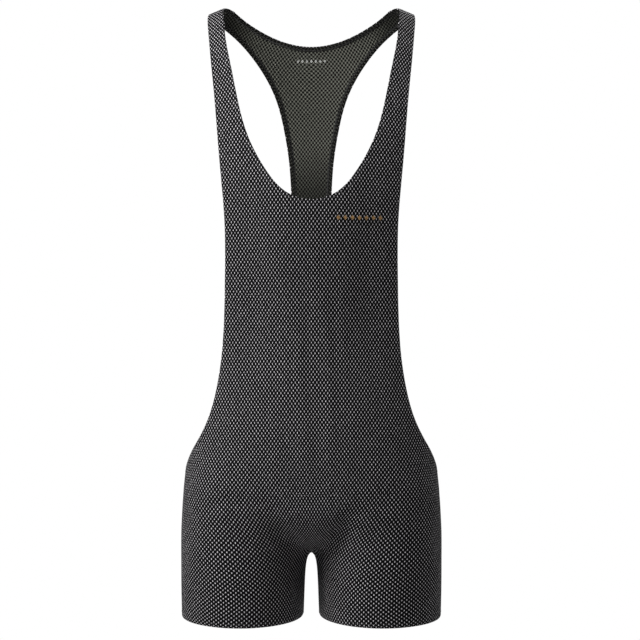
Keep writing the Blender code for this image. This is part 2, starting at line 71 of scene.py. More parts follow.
# The body's profile in the middle plane, from the front over the shoulder to the back
PROFILE = (
    ("y", "z"),
    (-0.112, -0.660),
    (-0.114, -0.600),
    (-0.108, -0.520),
    (-0.101, -0.430),
    (-0.110, -0.350),
    (-0.122, -0.260),
    (-0.118, -0.190),
    (-0.103, -0.130),
    (-0.078, -0.070),
    (-0.042, -0.022),
    (0.000, 0.000),
    (0.034, -0.018),
    (0.060, -0.055),
    (0.086, -0.120),
    (0.104, -0.200),
    (0.100, -0.300),
    (0.078, -0.420),
    (0.088, -0.500),
    (0.114, -0.580),
    (0.122, -0.660),
)

# Half the trunk's width, down the body
TRUNK = (
    ("z", "half_width"),
    (-0.720, 0.080),
    (-0.690, 0.110),
    (-0.660, 0.135),
    (-0.630, 0.150),
    (-0.600, 0.158),
    (-0.560, 0.157),
    (-0.530, 0.153),
    (-0.430, 0.147),
    (-0.300, 0.156),
    (-0.200, 0.172),
    (-0.100, 0.192),
    (0.000, 0.200),
)

# One leg, down from where it leaves the trunk: the middle of its section, and its half sizes
LEG = (
    ("z", "middle", "half_width", "front", "back"),
    (-0.820, 0.0892, 0.0774, 0.099, 0.093),
    (-0.788, 0.0889, 0.0784, 0.100, 0.096),
    (-0.750, 0.0887, 0.0794, 0.101, 0.102),
    (-0.707, 0.0883, 0.0801, 0.102, 0.110),
    (-0.670, 0.0879, 0.0799, 0.101, 0.114),
    (-0.630, 0.0860, 0.0760, 0.098, 0.111),
    (-0.560, 0.0800, 0.0600, 0.085, 0.090),
)
LEG_TOP = -0.630  # above this height a leg rounds off inside the trunk
LEG_CAP = 0.070  # height of that rounded end

# Half the neckline, on the wearer's left: from the front, over the shoulder, to the back
NECK_EDGE = (
    ("x", "y", "z"),
    (0.0000, -0.122, -0.2595),
    (0.0340, -0.121, -0.248),
    (0.0560, -0.117, -0.223),
    (0.0765, -0.109, -0.185),
    (0.0910, -0.096, -0.136),
    (0.1010, -0.078, -0.088),
    (0.1085, -0.057, -0.052),
    (0.1130, -0.026, -0.014),
    (0.1120, -0.002, 0.000),
    (0.1015, 0.012, -0.004),
    (0.0890, 0.025, -0.012),
    (0.0700, 0.037, -0.023),
    (0.0445, 0.047, -0.034),
    (0.0000, 0.053, -0.042),
)

# The left armhole: from the top of the side seam up the front, over the shoulder and down the back
ARMHOLE_EDGE = (
    ("x", "y", "z"),
    (0.1620, 0.000, -0.6005),
    (0.1585, -0.022, -0.5915),
    (0.1505, -0.041, -0.5735),
    (0.1430, -0.053, -0.559),
    (0.1310, -0.065, -0.533),
    (0.1200, -0.070, -0.495),
    (0.1115, -0.073, -0.432),
    (0.1085, -0.083, -0.355),
    (0.1085, -0.095, -0.283),
    (0.1125, -0.097, -0.230),
    (0.1165, -0.094, -0.184),
    (0.1210, -0.085, -0.133),
    (0.1270, -0.066, -0.080),
    (0.1322, -0.037, -0.037),
    (0.1336, -0.010, -0.015),
    (0.1270, 0.016, -0.015),
    (0.1145, 0.032, -0.024),
    (0.0995, 0.044, -0.035),
    (0.0770, 0.059, -0.059),
    (0.0600, 0.071, -0.084),
    (0.0480, 0.081, -0.109),
    (0.0375, 0.093, -0.148),
    (0.0310, 0.102, -0.188),
    (0.0280, 0.105, -0.230),
    (0.0280, 0.103, -0.280),
    (0.0330, 0.094, -0.340),
    (0.0460, 0.080, -0.400),
    (0.0660, 0.076, -0.460),
    (0.0940, 0.078, -0.518),
    (0.1260, 0.070, -0.562),
    (0.1535, 0.040, -0.5915),
    (0.1620, 0.000, -0.6005),
)
CROTCH_ARCH = (0.014, 0.0075)  # height and half width of the arch between the legs

# The rows of cells of half a panel. A row runs from the inner edge (0 to 1 down the neckline,
# 1 to 2 down the middle, 2 to 3 down the inseam) to the outer edge (0 to 1 down the armhole,
# 1 to 2 down the side seam). Each line of a table says how many rows lead to it, evenly spaced.
FRONT_ROWS = (
    ("inner", "outer", "rows"),
    (0.00, 0.00, 0),
    (0.22, 0.115, 8),
    (1.00, 0.45, 14),
    (1.30, 0.68, 12),
    (1.72, 1.00, 12),
    (2.00, 1.45, 9),
    (3.00, 2.00, 7),
)
BACK_ROWS = (
    ("inner", "outer", "rows"),
    (0.00, 0.00, 0),
    (1.00, 0.17, 10),
    (1.28, 0.46, 12),
    (1.82, 1.00, 22),
    (2.00, 1.45, 9),
    (3.00, 2.00, 7),
)
COLUMNS = 12  # cells across half a panel
DETAIL = 4  # cells of the shown cloth along each side of one of those cells
LEAN_REACH = 0.30  # share of the middle line over which rows begin to turn round the leg
ROW_RISE = 0.2  # how freely a row's points move up and down as they settle on the figure
ARMHOLE_LIFT = 0.5  # how steeply rows rise where the armhole meets the side seam
LIFT_REACH = 0.20  # share of the armhole over which they do
STEEPEST_ROW = 0.45  # sine of the smallest angle between a row and an edge that hems allow for
REACH_CELLS = 16  # grid cells that a path inwards from an edge may need
FOLD_STEPS = 5  # points round the fold of an edge

# How finely the curves and the surface are worked out
PROFILE_SAMPLES = 2400
LINE_SAMPLES = 800
ROW_SAMPLES = 97
GUIDE_SAMPLES = 40  # on a smooth path, for each point that guides it
COARSE_STEP = 20  # profile samples passed over in a first search
NEWTON_STEPS = 6
CHART_STEP = 0.0010
SLOPE_STEP = 0.0001
WIDEST_SHARE = 0.999  # of the half width, where the chart ends
SMALLEST_RATIO = 1e-6
FLATTENING_STEPS = 80
SMALLEST_COTANGENT = 0.02
PIN_STIFFNESS = 1e4

# The soft ridges (height above 0) and troughs (below 0) of the filled-out cloth.
# Each fold is a path over the panel. One that is paired lies on both sides of the middle.
FRONT_FOLDS = (
    ("fold", "paired", "x", "z", "height", "half_width"),
    (1, 1, 0.006, -0.702, 0.0000, 0.011),  # the crease at the top of each leg
    (1, 1, 0.016, -0.688, -0.0018, 0.011),
    (1, 1, 0.030, -0.676, -0.0036, 0.012),
    (1, 1, 0.044, -0.662, -0.0036, 0.012),
    (1, 1, 0.056, -0.645, -0.0024, 0.011),
    (1, 1, 0.070, -0.626, 0.0000, 0.010),
    (2, 1, 0.076, -0.170, 0.0000, 0.018),  # the flatter stretch beside each armhole
    (2, 1, 0.075, -0.240, -0.0028, 0.023),
    (2, 1, 0.073, -0.330, -0.0036, 0.024),
    (2, 1, 0.074, -0.420, -0.0034, 0.024),
    (2, 1, 0.082, -0.500, -0.0014, 0.026),
    (2, 1, 0.092, -0.570, 0.0000, 0.026),
    (3, 1, 0.084, -0.640, 0.0000, 0.034),  # the rounding down the front of each leg
    (3, 1, 0.087, -0.700, 0.0040, 0.038),
    (3, 1, 0.088, -0.740, 0.0060, 0.040),
    (3, 1, 0.088, -0.800, 0.0065, 0.040),
    (4, 0, -0.022, -0.360, 0.0000, 0.008),  # folds that run down the belly
    (4, 0, -0.016, -0.430, 0.0020, 0.009),
    (4, 0, -0.013, -0.490, 0.0027, 0.009),
    (4, 0, -0.008, -0.555, 0.0022, 0.009),
    (4, 0, -0.004, -0.625, 0.0000, 0.009),
    (5, 0, 0.012, -0.340, 0.0000, 0.007),
    (5, 0, 0.017, -0.420, 0.0020, 0.008),
    (5, 0, 0.021, -0.490, 0.0026, 0.009),
    (5, 0, 0.023, -0.555, 0.0022, 0.009),
    (5, 0, 0.022, -0.620, 0.0000, 0.009),
    (6, 0, -0.052, -0.505, 0.0000, 0.005),  # finer ones that lean towards the crotch
    (6, 0, -0.043, -0.545, 0.0008, 0.005),
    (6, 0, -0.030, -0.600, 0.0000, 0.005),
    (7, 0, -0.090, -0.545, 0.0000, 0.006),
    (7, 0, -0.079, -0.585, 0.0009, 0.006),
    (7, 0, -0.058, -0.628, 0.0000, 0.006),
    (8, 0, 0.054, -0.525, 0.0000, 0.005),
    (8, 0, 0.047, -0.565, 0.0006, 0.005),
    (8, 0, 0.036, -0.610, 0.0000, 0.005),
    (9, 0, -0.136, -0.655, 0.0000, 0.006),  # the fold over the right hip
    (9, 0, -0.124, -0.640, -0.0014, 0.007),
    (9, 0, -0.102, -0.630, -0.0018, 0.007),
    (9, 0, -0.080, -0.630, -0.0014, 0.007),
    (9, 0, -0.062, -0.640, 0.0000, 0.007),
    (10, 0, 0.072, -0.634, 0.0000, 0.006),  # and the fainter one over the left
    (10, 0, 0.092, -0.626, -0.0010, 0.007),
    (10, 0, 0.114, -0.630, 0.0000, 0.007),
    (11, 0, 0.014, -0.702, 0.0000, 0.009),  # the deeper fold at the top of the left leg
    (11, 0, 0.024, -0.692, -0.0026, 0.010),
    (11, 0, 0.033, -0.676, -0.0040, 0.011),
    (11, 0, 0.041, -0.656, -0.0026, 0.010),
    (11, 0, 0.046, -0.636, 0.0000, 0.009),
    (12, 0, -0.036, -0.320, 0.0000, 0.007),  # lower ones beside and between those of the belly
    (12, 0, -0.031, -0.400, 0.0010, 0.008),
    (12, 0, -0.030, -0.480, 0.0016, 0.009),
    (12, 0, -0.026, -0.550, 0.0000, 0.009),
    (13, 0, 0.004, -0.300, 0.0000, 0.005),
    (13, 0, 0.005, -0.380, 0.0011, 0.006),
    (13, 0, 0.005, -0.460, 0.0014, 0.006),
    (13, 0, 0.008, -0.560, 0.0000, 0.006),
    (14, 0, 0.036, -0.330, 0.0000, 0.006),
    (14, 0, 0.038, -0.430, 0.0010, 0.007),
    (14, 0, 0.040, -0.540, 0.0000, 0.007),
)
BACK_FOLDS = (
    ("fold", "paired", "x", "z", "height", "half_width"),
    (1, 1, 0.006, -0.702, 0.0000, 0.010),  # the crease at the top of each leg
    (1, 1, 0.016, -0.688, -0.0010, 0.010),
    (1, 1, 0.032, -0.680, -0.0018, 0.011),
    (1, 1, 0.052, -0.676, -0.0018, 0.012),
    (1, 1, 0.078, -0.676, 0.0000, 0.012),
    (2, 1, 0.012, -0.440, 0.0000, 0.008),  # folds that run down to the seat
    (2, 1, 0.017, -0.475, 0.0013, 0.008),
    (2, 1, 0.021, -0.520, 0.0013, 0.009),
    (2, 1, 0.022, -0.570, 0.0000, 0.009),
    (3, 1, 0.050, -0.480, 0.0000, 0.006),
    (3, 1, 0.054, -0.515, 0.0008, 0.006),
    (3, 1, 0.055, -0.560, 0.0000, 0.006),
    (4, 0, -0.030, -0.424, 0.0000, 0.006),  # across the small of the back
    (4, 0, 0.000, -0.430, -0.0011, 0.006),
    (4, 0, 0.030, -0.422, 0.0000, 0.006),
    (5, 0, -0.118, -0.640, 0.0000, 0.006),  # over the hips
    (5, 0, -0.098, -0.632, -0.0010, 0.007),
    (5, 0, -0.074, -0.636, 0.0000, 0.007),
    (6, 0, 0.076, -0.632, 0.0000, 0.006),
    (6, 0, 0.102, -0.634, -0.0012, 0.007),
    (6, 0, 0.122, -0.644, 0.0000, 0.006),
)
CALM_MIDDLE = 0.010  # paired folds fade out within this distance of the middle line

# How far the worn cloth is pulled out of its flat cut, up the body: across and lengthwise, and
# how its knit leans inwards on the way down, as a tangent
PULL = (
    ("z", "across", "down", "lean"),
    (-0.787, 1.42, 0.70, 0.00),
    (-0.740, 1.41, 0.72, 0.00),
    (-0.690, 1.33, 0.84, 0.00),
    (-0.640, 1.22, 0.90, 0.00),
    (-0.570, 1.15, 0.93, 0.00),
    (-0.500, 1.00, 1.00, 0.00),
    (-0.260, 1.00, 1.00, 0.00),
    (-0.190, 1.00, 1.00, 0.06),
    (-0.110, 0.94, 1.00, 0.13),
    (-0.070, 0.92, 1.00, -0.03),
    (-0.035, 0.92, 1.00, -0.21),
    (0.000, 0.92, 1.00, -0.27),
)
PULL_REACH = 0.135  # how far out from the middle that pull is whole
TURN_SHARE = 0.5  # how much of the turn that would lay it flat without strain the cut takes

# A turned-in hem's section: in from the edge, and down from the outer face
HEM_SECTION = (
    ("reach", "depth"),
    (0.00090, 0.00088),
    (0.00200, 0.00084),
    (0.00440, 0.00084),
    (0.00580, 0.00084),
    (0.00615, 0.00100),
    (0.00621, 0.00126),
    (0.00615, 0.00152),
    (0.00580, 0.00168),
    (0.00440, 0.00176),
    (0.00200, 0.00178),
    (0.00090, 0.00179),
)

# ---------------------------------------------------------------- the knit
FRONT_PERIOD = (0.00452, 0.00666)  # across and down, between holes that lie in line
BACK_PERIOD = (0.00485, 0.00600)
HOLE_SIZE = (0.32, 0.285)  # half width and half height, as shares of the period
DASH_SIZE = (0.120, 0.208)
REVERSE_HOLE_SIZE = (0.255, 0.245)
GROUND = (0.0115, 0.0111, 0.0122)
DASH = (0.575, 0.556, 0.575)
HOLE = (0.0008, 0.0008, 0.0009)
REVERSE_GROUND = (0.066, 0.067, 0.057)
REVERSE_DASH = (0.240, 0.242, 0.206)
REVERSE_HOLE = (0.002, 0.002, 0.002)
HEM_GROUND = (0.015, 0.015, 0.013)
HEM_DASH = (0.086, 0.086, 0.075)
HEM_HOLE = (0.003, 0.003, 0.003)
HOLE_RIM = (1.2, 0.7)  # shares of a hole's size between which it fades in
DASH_RIM = (1.10, 0.55)
STRAY_SCALE = 45.0  # how finely the knit's lines stray, and how far
STRAY = 0.0010
NOISE_RANGE = (0.30, 0.70)  # the part of a noise that counts
LOOP_SCALE = 900.0  # how finely the bright loops differ, and their gain
LOOP_GAIN = (0.45, 1.00)
PATCH_SCALE = 22.0  # and the same for broader patches
PATCH_GAIN = (0.97, 1.03)
KNIT_RELIEF = 0.00012
BUMP_STRENGTH = 0.6
GROUND_ROUGHNESS = 0.85
DASH_GLOSS = -0.2  # what the bright loops add to that roughness
KNIT_SPECULAR = 0.05
SHADE_HEIGHTS = (-0.155, -0.250)  # between these painted shade darkens the inside of the back, downwards
SHADE_SIDES = (0.070, 0.112)  # and between these, outwards under the shoulders
# the strongest share of that painted shade, towards the holes' dark tone
SHADE = 0.74

# ---------------------------------------------------------------- sewing
THREAD_RADIUS = 0.00022
STITCH = 0.0028  # length of one stitch
STITCH_REACH = 0.0050  # from an edge to the stitches that hold its hem
COVER_REACH = (0.0046, 0.0070)  # between these the inner thread covers the hem's cut edge
FLATLOCK_HALF = 0.0024  # half the width of the flat seams
STITCH_SWING = 0.9  # how far a row of stitches rises and dips, in thread radii
STITCH_SINK = 0.5  # and how far its middle lies below the cloth's face
THREAD_SIDES = 6
STITCH_SAMPLES = 4
THREAD = (0.016, 0.016, 0.017)
THREAD_SHEEN_GAIN = 2.2  # how much lighter its spots of painted sheen are
THREAD_SCALE = 1500.0
THREAD_ROUGHNESS = 0.6

# ---------------------------------------------------------------- small generic marks
BRONZE = (0.190, 0.105, 0.034)
PALE = (0.420, 0.425, 0.405)

# Rows of lozenges, outside the front and inside the back: the middle of each row, the size of
# one lozenge and the distance between the first and the last
MARKS = (
    ("name", "side", "x", "z", "width", "height", "spread", "ink", "tone"),
    ("chest_mark", -1, 0.0590, -0.2815, 0.0052, 0.0064, 0.0520, "bronze", BRONZE),
    ("neck_mark", 1, 0.0000, -0.0600, 0.0034, 0.0050, 0.0360, "pale", PALE),
)
MARK_COUNT = 7
MARK_LIFT = 0.00012
MARK_THICK = 0.00010
WORN_GAIN = 0.45  # how much darker the print is where it is worn
WORN_SCALE = 700.0
WORN_RANGE = (0.35, 0.75)
PRINT_ROUGHNESS = 0.55

# ---------------------------------------------------------------- studio
CAMERA_PLACE = (0.0, -2.0, -0.407)
PICTURE_WIDTH = 640  # pixels
FOCAL_PIXELS = 1538
SENSOR_WIDTH = 36.0  # mm
SHIFT_PIXELS = 8.6
FLOOR_HEIGHT = -1.60
FLOOR_SIZE = 5.0
FLOOR_TONE = (0.97, 0.97, 0.97)
FLOOR_ROUGHNESS = 0.9
BACKDROP = 1.0  # brightness of the white backdrop
ROOM = 0.25  # brightness of the room round it
BACKDROP_EDGE = (0.88, 0.95)  # cosines between which the backdrop gives way to the room
LIGHTS = (
    ("x", "y", "z", "size", "power"),
    (-0.87, -0.87, 0.63, 0.9, 45.0),  # the main light, high on the left
    (-1.45, -0.68, -0.40, 0.9, 5.0),  # a low one further round
    (1.21, -0.21, 0.63, 0.9, 7.0),  # one that lights the right side
    (0.50, 1.40, 1.00, 1.0, 32.0),  # and one for the back
)
AIM = (0.0, 0.0, -0.40)


def columns(table):
    """Return the columns of a table by name, in the order of its rows."""
    names = table[0]
    rows = np.array(table[1:], float)
    return dict(zip(names, rows.T))


def spline(knots, values):
    """Return the natural cubic spline through values at rising knots, as a function."""
    knots = np.asarray(knots, float)
    values = np.asarray(values, float)
    step = np.diff(knots)
    slope = np.diff(values) / step
    last = len(knots) - 1
    system = np.eye(last + 1)
    right = np.zeros(last + 1)
    for i in range(1, last):
        system[i, i - 1 : i + 2] = step[i - 1], 2 * (step[i - 1] + step[i]), step[i]
        right[i] = 6 * (slope[i] - slope[i - 1])
    bend = np.linalg.solve(system, right)

    def value(at):
        at = np.clip(at, knots[0], knots[-1])
        i = np.clip(np.searchsorted(knots, at) - 1, 0, last - 1)
        back = at - knots[i]
        ahead = knots[i + 1] - at
        cubic = (bend[i] * ahead**3 + bend[i + 1] * back**3) / (6 * step[i])
        low = (values[i] / step[i] - bend[i] * step[i] / 6) * ahead
        high = (values[i + 1] / step[i] - bend[i + 1] * step[i] / 6) * back
        return cubic + low + high

    return value


def path_lengths(points):
    """Return the distance travelled at each point of a path."""
    steps = np.linalg.norm(np.diff(points, axis=0), axis=1)
    return np.concatenate([[0.0], np.cumsum(steps)])


def sample(values, lengths, at):
    """Return values that are known at some lengths along a path, at others."""
    return np.stack([np.interp(at, lengths, part) for part in values.T], axis=-1)


def evenly(path, fractions):
    """Return the points at the given fractions of a path's length."""
    lengths = path_lengths(path)
    return sample(path, lengths, np.asarray(fractions) * lengths[-1])


def curve_through(points, knots, at):
    """Return the places of the smooth curve through points, which it passes at rising knots."""
    return np.stack([spline(knots, part)(at) for part in points.T], axis=1)


def smooth_path(points, count, before=(), after=()):
    """Return count points, evenly spaced, along the smooth curve through a few points.

    Points before and after them shape the curve's ends without being part of it.
    """
    guides = np.array([*before, *points, *after], float)
    lengths = path_lengths(guides)
    first = lengths[len(before)]
    last = lengths[len(before) + len(points) - 1]
    fine = np.linspace(first, last, GUIDE_SAMPLES * len(points))
    return evenly(curve_through(guides, lengths, fine), np.linspace(0, 1, count))


# ---------------------------------------------------------------- the figure
profile_path = smooth_path(PROFILE[1:], PROFILE_SAMPLES)
profile_along = path_lengths(profile_path)
summit = int(np.argmax(profile_path[:, 1]))
profile_along = profile_along - profile_along[summit]
front_profile = profile_path[: summit + 1]
back_profile = profile_path[summit:][::-1]

trunk_table = columns(TRUNK)
trunk_half_width = spline(trunk_table["z"], trunk_table["half_width"])
leg_heights, *leg_sizes = columns(LEG).values()
leg_splines = [spline(leg_heights, sizes) for sizes in leg_sizes]


def shoulder_fall(x, height):
    """Return how far the shoulder lies below the middle plane's profile, out at x."""
    out = np.maximum(np.abs(x) - SHOULDER_START, 0)
    soft = out**2 / (out + SHOULDER_SOFTNESS)
    near = np.clip(1 + height / SHOULDER_FADE, 0, 1)
    return SHOULDER_SLOPE * soft * near**2 * (3 - 2 * near)


def chart(x, along):
    """Return the points at x out from the middle and at a distance along the profile.

    The distance is counted from the top of the shoulder, negative down the front.
    """
    y = np.interp(along, profile_along, profile_path[:, 0])
    z = np.interp(along, profile_along, profile_path[:, 1])
    share = np.clip(np.abs(x) / trunk_half_width(z), 0, WIDEST_SHARE)
    depth = (1 - share**ROUNDNESS) ** (1 / ROUNDNESS)
    return np.stack([x, y * depth, z - shoulder_fall(x, z)], axis=-1)


def column_distance(x, y, past, size, cap):
    """Return the approximate distance outside a column whose sections are superellipses.

    Its size is half its width and its depths to the front and back, and it rounds off within
    the length of its cap past its end.
    """
    half_width, front, back = size
    shares = (np.abs(x) / half_width, np.abs(y) / np.where(y < 0, front, back), past / cap)
    ratio = sum(share**ROUNDNESS for share in shares) ** (1 / ROUNDNESS)
    reach = np.sqrt(x**2 + y**2 + past**2)
    return reach * (1 - 1 / np.maximum(ratio, SMALLEST_RATIO))


def trunk_distance(x, y, z):
    """Return the approximate distance outside the trunk, which closes below SEAT_LEVEL."""
    front = -np.interp(z, front_profile[:, 1], front_profile[:, 0])
    back = np.interp(z, back_profile[:, 1], back_profile[:, 0])
    size = (trunk_half_width(z), front, back)
    return column_distance(x, y, np.maximum(SEAT_LEVEL - z, 0), size, SEAT_LEVEL - TRUNK_END)


def leg_distance(x, y, z):
    """Return the approximate distance outside one leg, the one at positive x."""
    middle, *size = (value(z) for value in leg_splines)
    return column_distance(x - middle, y, np.maximum(z - LEG_TOP, 0), size, LEG_CAP)


def soft_join(first, second, softness):
    """Return the distance outside two bodies whose join is rounded."""
    return -softness * np.logaddexp(-first / softness, -second / softness)


def outside(points):
    """Return the approximate distance of points outside the trunk and legs, softly joined."""
    x, y, z = points.T
    legs = soft_join(leg_distance(x, y, z), leg_distance(-x, y, z), CROTCH_BLEND)
    return soft_join(trunk_distance(x, y, z), legs, GROIN_BLEND)


def slope(points):
    """Return the gradient of outside() at points."""
    steps = np.eye(3) * SLOPE_STEP
    rises = [outside(points + step) - outside(points - step) for step in steps]
    return np.stack(rises, axis=1) / (2 * SLOPE_STEP)


def unit(vectors):
    """Return the vectors at length one."""
    return vectors / np.linalg.norm(vectors, axis=-1, keepdims=True)


def along_profile(points):
    """Return the distance along the profile at which each point lies nearest to the chart."""
    samples = profile_along[::COARSE_STEP]
    x = np.repeat(points[:, :1], len(samples), axis=1)
    gaps = chart(x, np.broadcast_to(samples, x.shape)) - points[:, None]
    along = samples[(gaps**2).sum(axis=2).argmin(axis=1)]
    for _ in range(NEWTON_STEPS):
        heading = chart(points[:, 0], along + CHART_STEP) - chart(points[:, 0], along - CHART_STEP)
        heading = heading / (2 * CHART_STEP)
        gap = points - chart(points[:, 0], along)
        along = along + (gap * heading).sum(axis=1) / (heading**2).sum(axis=1)
    return along


def chart_normals(x, along):
    """Return the outward normals of the chart."""
    across = chart(x + CHART_STEP, along) - chart(x - CHART_STEP, along)
    ahead = chart(x, along + CHART_STEP) - chart(x, along - CHART_STEP)
    return unit(np.cross(across, ahead))


def settle(points, free=(1, 1, 1)):
    """Bring points onto the figure, and return them with the surface's normals.

    Free says how freely a point below the chart may move along each axis, from 0 to 1.
    """
    points = np.array(points, float)
    normals = np.empty_like(points)
    free = np.broadcast_to(free, points.shape)
    high = points[:, 2] > CHART_END
    if high.any():
        x = points[high, 0]
        along = along_profile(points[high])
        points[high] = chart(x, along)
        normals[high] = chart_normals(x, along)
    if not high.all():
        low = points[~high]
        for _ in range(NEWTON_STEPS):
            steepest = slope(low)
            pull = steepest * free[~high]
            low = low - (outside(low) / (steepest * pull).sum(axis=1))[:, None] * pull
        points[~high] = low
        normals[~high] = unit(slope(low))
    return points, normals


# ---------------------------------------------------------------- the lines of the pattern
def edge_line(table, mirrored):
    """Return the evenly sampled line on the figure that passes near a table's points.

    A mirrored table is half of a ring, and meets its mirror image smoothly at both ends.
    Otherwise it is a whole ring, whose last point is its first.
    """
    points = np.array(table[1:])
    if mirrored:
        before = points[2:0:-1] * (-1, 1, 1)
        after = points[-2:-4:-1] * (-1, 1, 1)
    else:
        before = points[-3:-1]
        after = points[1:3]
    line, _ = settle(smooth_path(points, LINE_SAMPLES, before, after))
    return evenly(line, np.linspace(0, 1, LINE_SAMPLES))


def split_at_shoulder(line, side):
    """Return the part of an edge before or behind the shoulder seam, from the seam downwards.

    The line runs from front to back. The side is -1 for the front panel and 1 for the back.
    """
    high = line[:, 2] > CHART_END
    along = np.where(line[:, 1] < 0, -1.0, 1.0)
    along[high] = along_profile(line[high])
    crossing = int(np.argmax(along > SHOULDER_SEAM))
    x = np.interp(
        SHOULDER_SEAM, along[crossing - 1 : crossing + 1], line[crossing - 1 : crossing + 1, 0]
    )
    end = chart(np.array([x]), np.array([SHOULDER_SEAM]))
    if side < 0:
        return np.concatenate([end, line[:crossing][::-1]])
    return np.concatenate([end, line[crossing:]])


def centre_line(top, side):
    """Return the middle line of a panel, from its neckline to the crotch."""
    heights = np.linspace(top, SEAT_LEVEL, LINE_SAMPLES)
    profile = front_profile if side < 0 else back_profile
    depth = np.interp(heights, profile[:, 1], profile[:, 0])
    straight = np.stack([0 * heights, depth, heights], axis=1)
    turn = np.linspace(0, np.pi / 2, LINE_SAMPLES)[1:]
    drop = SEAT_LEVEL - TRUNK_END
    curve = np.stack(
        [0 * turn, depth[-1] * np.cos(turn), SEAT_LEVEL - drop * np.sin(turn)], axis=1
    )
    line, _ = settle(np.concatenate([straight, curve]), free=(0, 1, 1))
    line[:, 0] = 0
    return line


def inseam(crotch):
    """Return the line down the inside of a leg, from the crotch to the leg's end."""
    turn = np.linspace(0, np.pi / 2, LINE_SAMPLES)[1:]
    height, width = CROTCH_ARCH
    arch = np.stack(
        [width * np.sin(turn), 0 * turn, crotch[2] - height * (1 - np.cos(turn))], axis=1
    )
    heights = np.linspace(arch[-1, 2], LEG_END, LINE_SAMPLES)[1:]
    straight = np.stack([width + 0 * heights, 0 * heights, heights], axis=1)
    line, _ = settle(np.concatenate([arch, straight]), free=(1, 0, 1))
    line[-1], _ = settle(np.array([[line[-1, 0], 0, LEG_END]]), free=(1, 0, 0))
    return np.concatenate([crotch[None], line])


def side_seam(top):
    """Return the line down the side, from the armhole to the leg's end."""
    heights = np.linspace(top[2], LEG_END, LINE_SAMPLES)
    line = np.stack([top[0] + 0 * heights, 0 * heights, heights], axis=1)
    line, _ = settle(line, free=(1, 0, 0))
    return line


def line_points(lines, places):
    """Return the points at places along joined lines, one line to each unit."""
    found = np.empty((len(places), 3))
    for i, place in enumerate(places):
        number = min(int(place), len(lines) - 1)
        found[i] = evenly(lines[number], place - number)
    return found


# ---------------------------------------------------------------- the panels
def row_places(table, detail=1):
    """Return where each row of cells starts and ends, spaced evenly between a table's rows."""
    named = columns(table)
    counts = named["rows"].astype(int) * detail
    steps = [np.linspace(0, 1, count + 1)[1:] + i for i, count in enumerate(counts[1:])]
    at = np.concatenate([[0.0], *steps])
    stations = np.arange(len(counts))
    return np.interp(at, stations, named["inner"]), np.interp(at, stations, named["outer"])


def row_path(start, end, lean, lift, free):
    """Return a finely sampled row on the surface, from a panel's inner to its outer edge.

    Lean turns the row's ends round a leg, to the front where it is negative, and lift raises
    its outer end. Its points settle along the free axes.
    """
    _, normals = settle(np.array([start, end]))
    chord = end - start
    length = np.linalg.norm(chord)
    turns = np.array([[0, lean, 0], [0, -lean, lift]])
    headings = chord / length + turns
    headings = headings - (headings * normals).sum(axis=1, keepdims=True) * normals
    headings = unit(headings * np.sign(free))
    angle = np.arccos(np.clip(headings[0] @ headings[1], -1, 1))
    pull = length / np.cos(angle / 4) ** 2
    t = np.linspace(0, 1, ROW_SAMPLES)[:, None]
    path = (1 - t) ** 2 * (1 + 2 * t) * start + t**2 * (3 - 2 * t) * end
    path = path + pull * (t * (1 - t) ** 2 * headings[0] - t**2 * (1 - t) * headings[1])
    path, _ = settle(path, free)
    path[0], path[-1] = start, end
    return path


def ramp(value):
    """Return a soft step from 0 to 1."""
    value = np.clip(value, 0, 1)
    return value**2 * (3 - 2 * value)


def refine(values, breaks):
    """Return a grid of values smoothly filled in to DETAIL cells for each cell.

    Rows are filled in between one break and the next, as the edges turn a corner there.
    """
    across = [fill_in(row) for row in values]
    down = np.moveaxis(np.array(across), 0, 1)
    blocks = []
    for first, last in zip(breaks[:-1], breaks[1:]):
        block = np.array([fill_in(column[first : last + 1]) for column in down])
        blocks.append(block if last == breaks[-1] else block[:, :-1])
    return np.moveaxis(np.concatenate(blocks, axis=1), 1, 0)


def fill_in(values):
    """Return a line of values smoothly filled in to DETAIL steps for each step."""
    knots = np.arange(len(values))
    return curve_through(values, knots, np.linspace(0, knots[-1], knots[-1] * DETAIL + 1))


def relief(table, paired, points):
    """Return how far the paired or the single folds of a panel raise its cloth at each point."""
    named = columns(table)
    x, z = points[..., 0], points[..., 2]
    raised = np.zeros_like(x)
    for number in np.unique(named["fold"][named["paired"] == paired]):
        of_fold = named["fold"] == number
        guides = [named[name][of_fold] for name in ("x", "z", "height", "half_width")]
        path = smooth_path(np.stack(guides, axis=1), GUIDE_SAMPLES)
        gaps = np.hypot(x[..., None] - path[:, 0], z[..., None] - path[:, 1])
        nearest = gaps.argmin(axis=-1)
        raised += path[nearest, 2] * np.exp(-((gaps.min(axis=-1) / path[nearest, 3]) ** 2))
    if paired:
        raised = raised * ramp(x / CALM_MIDDLE)
    return raised[..., None]


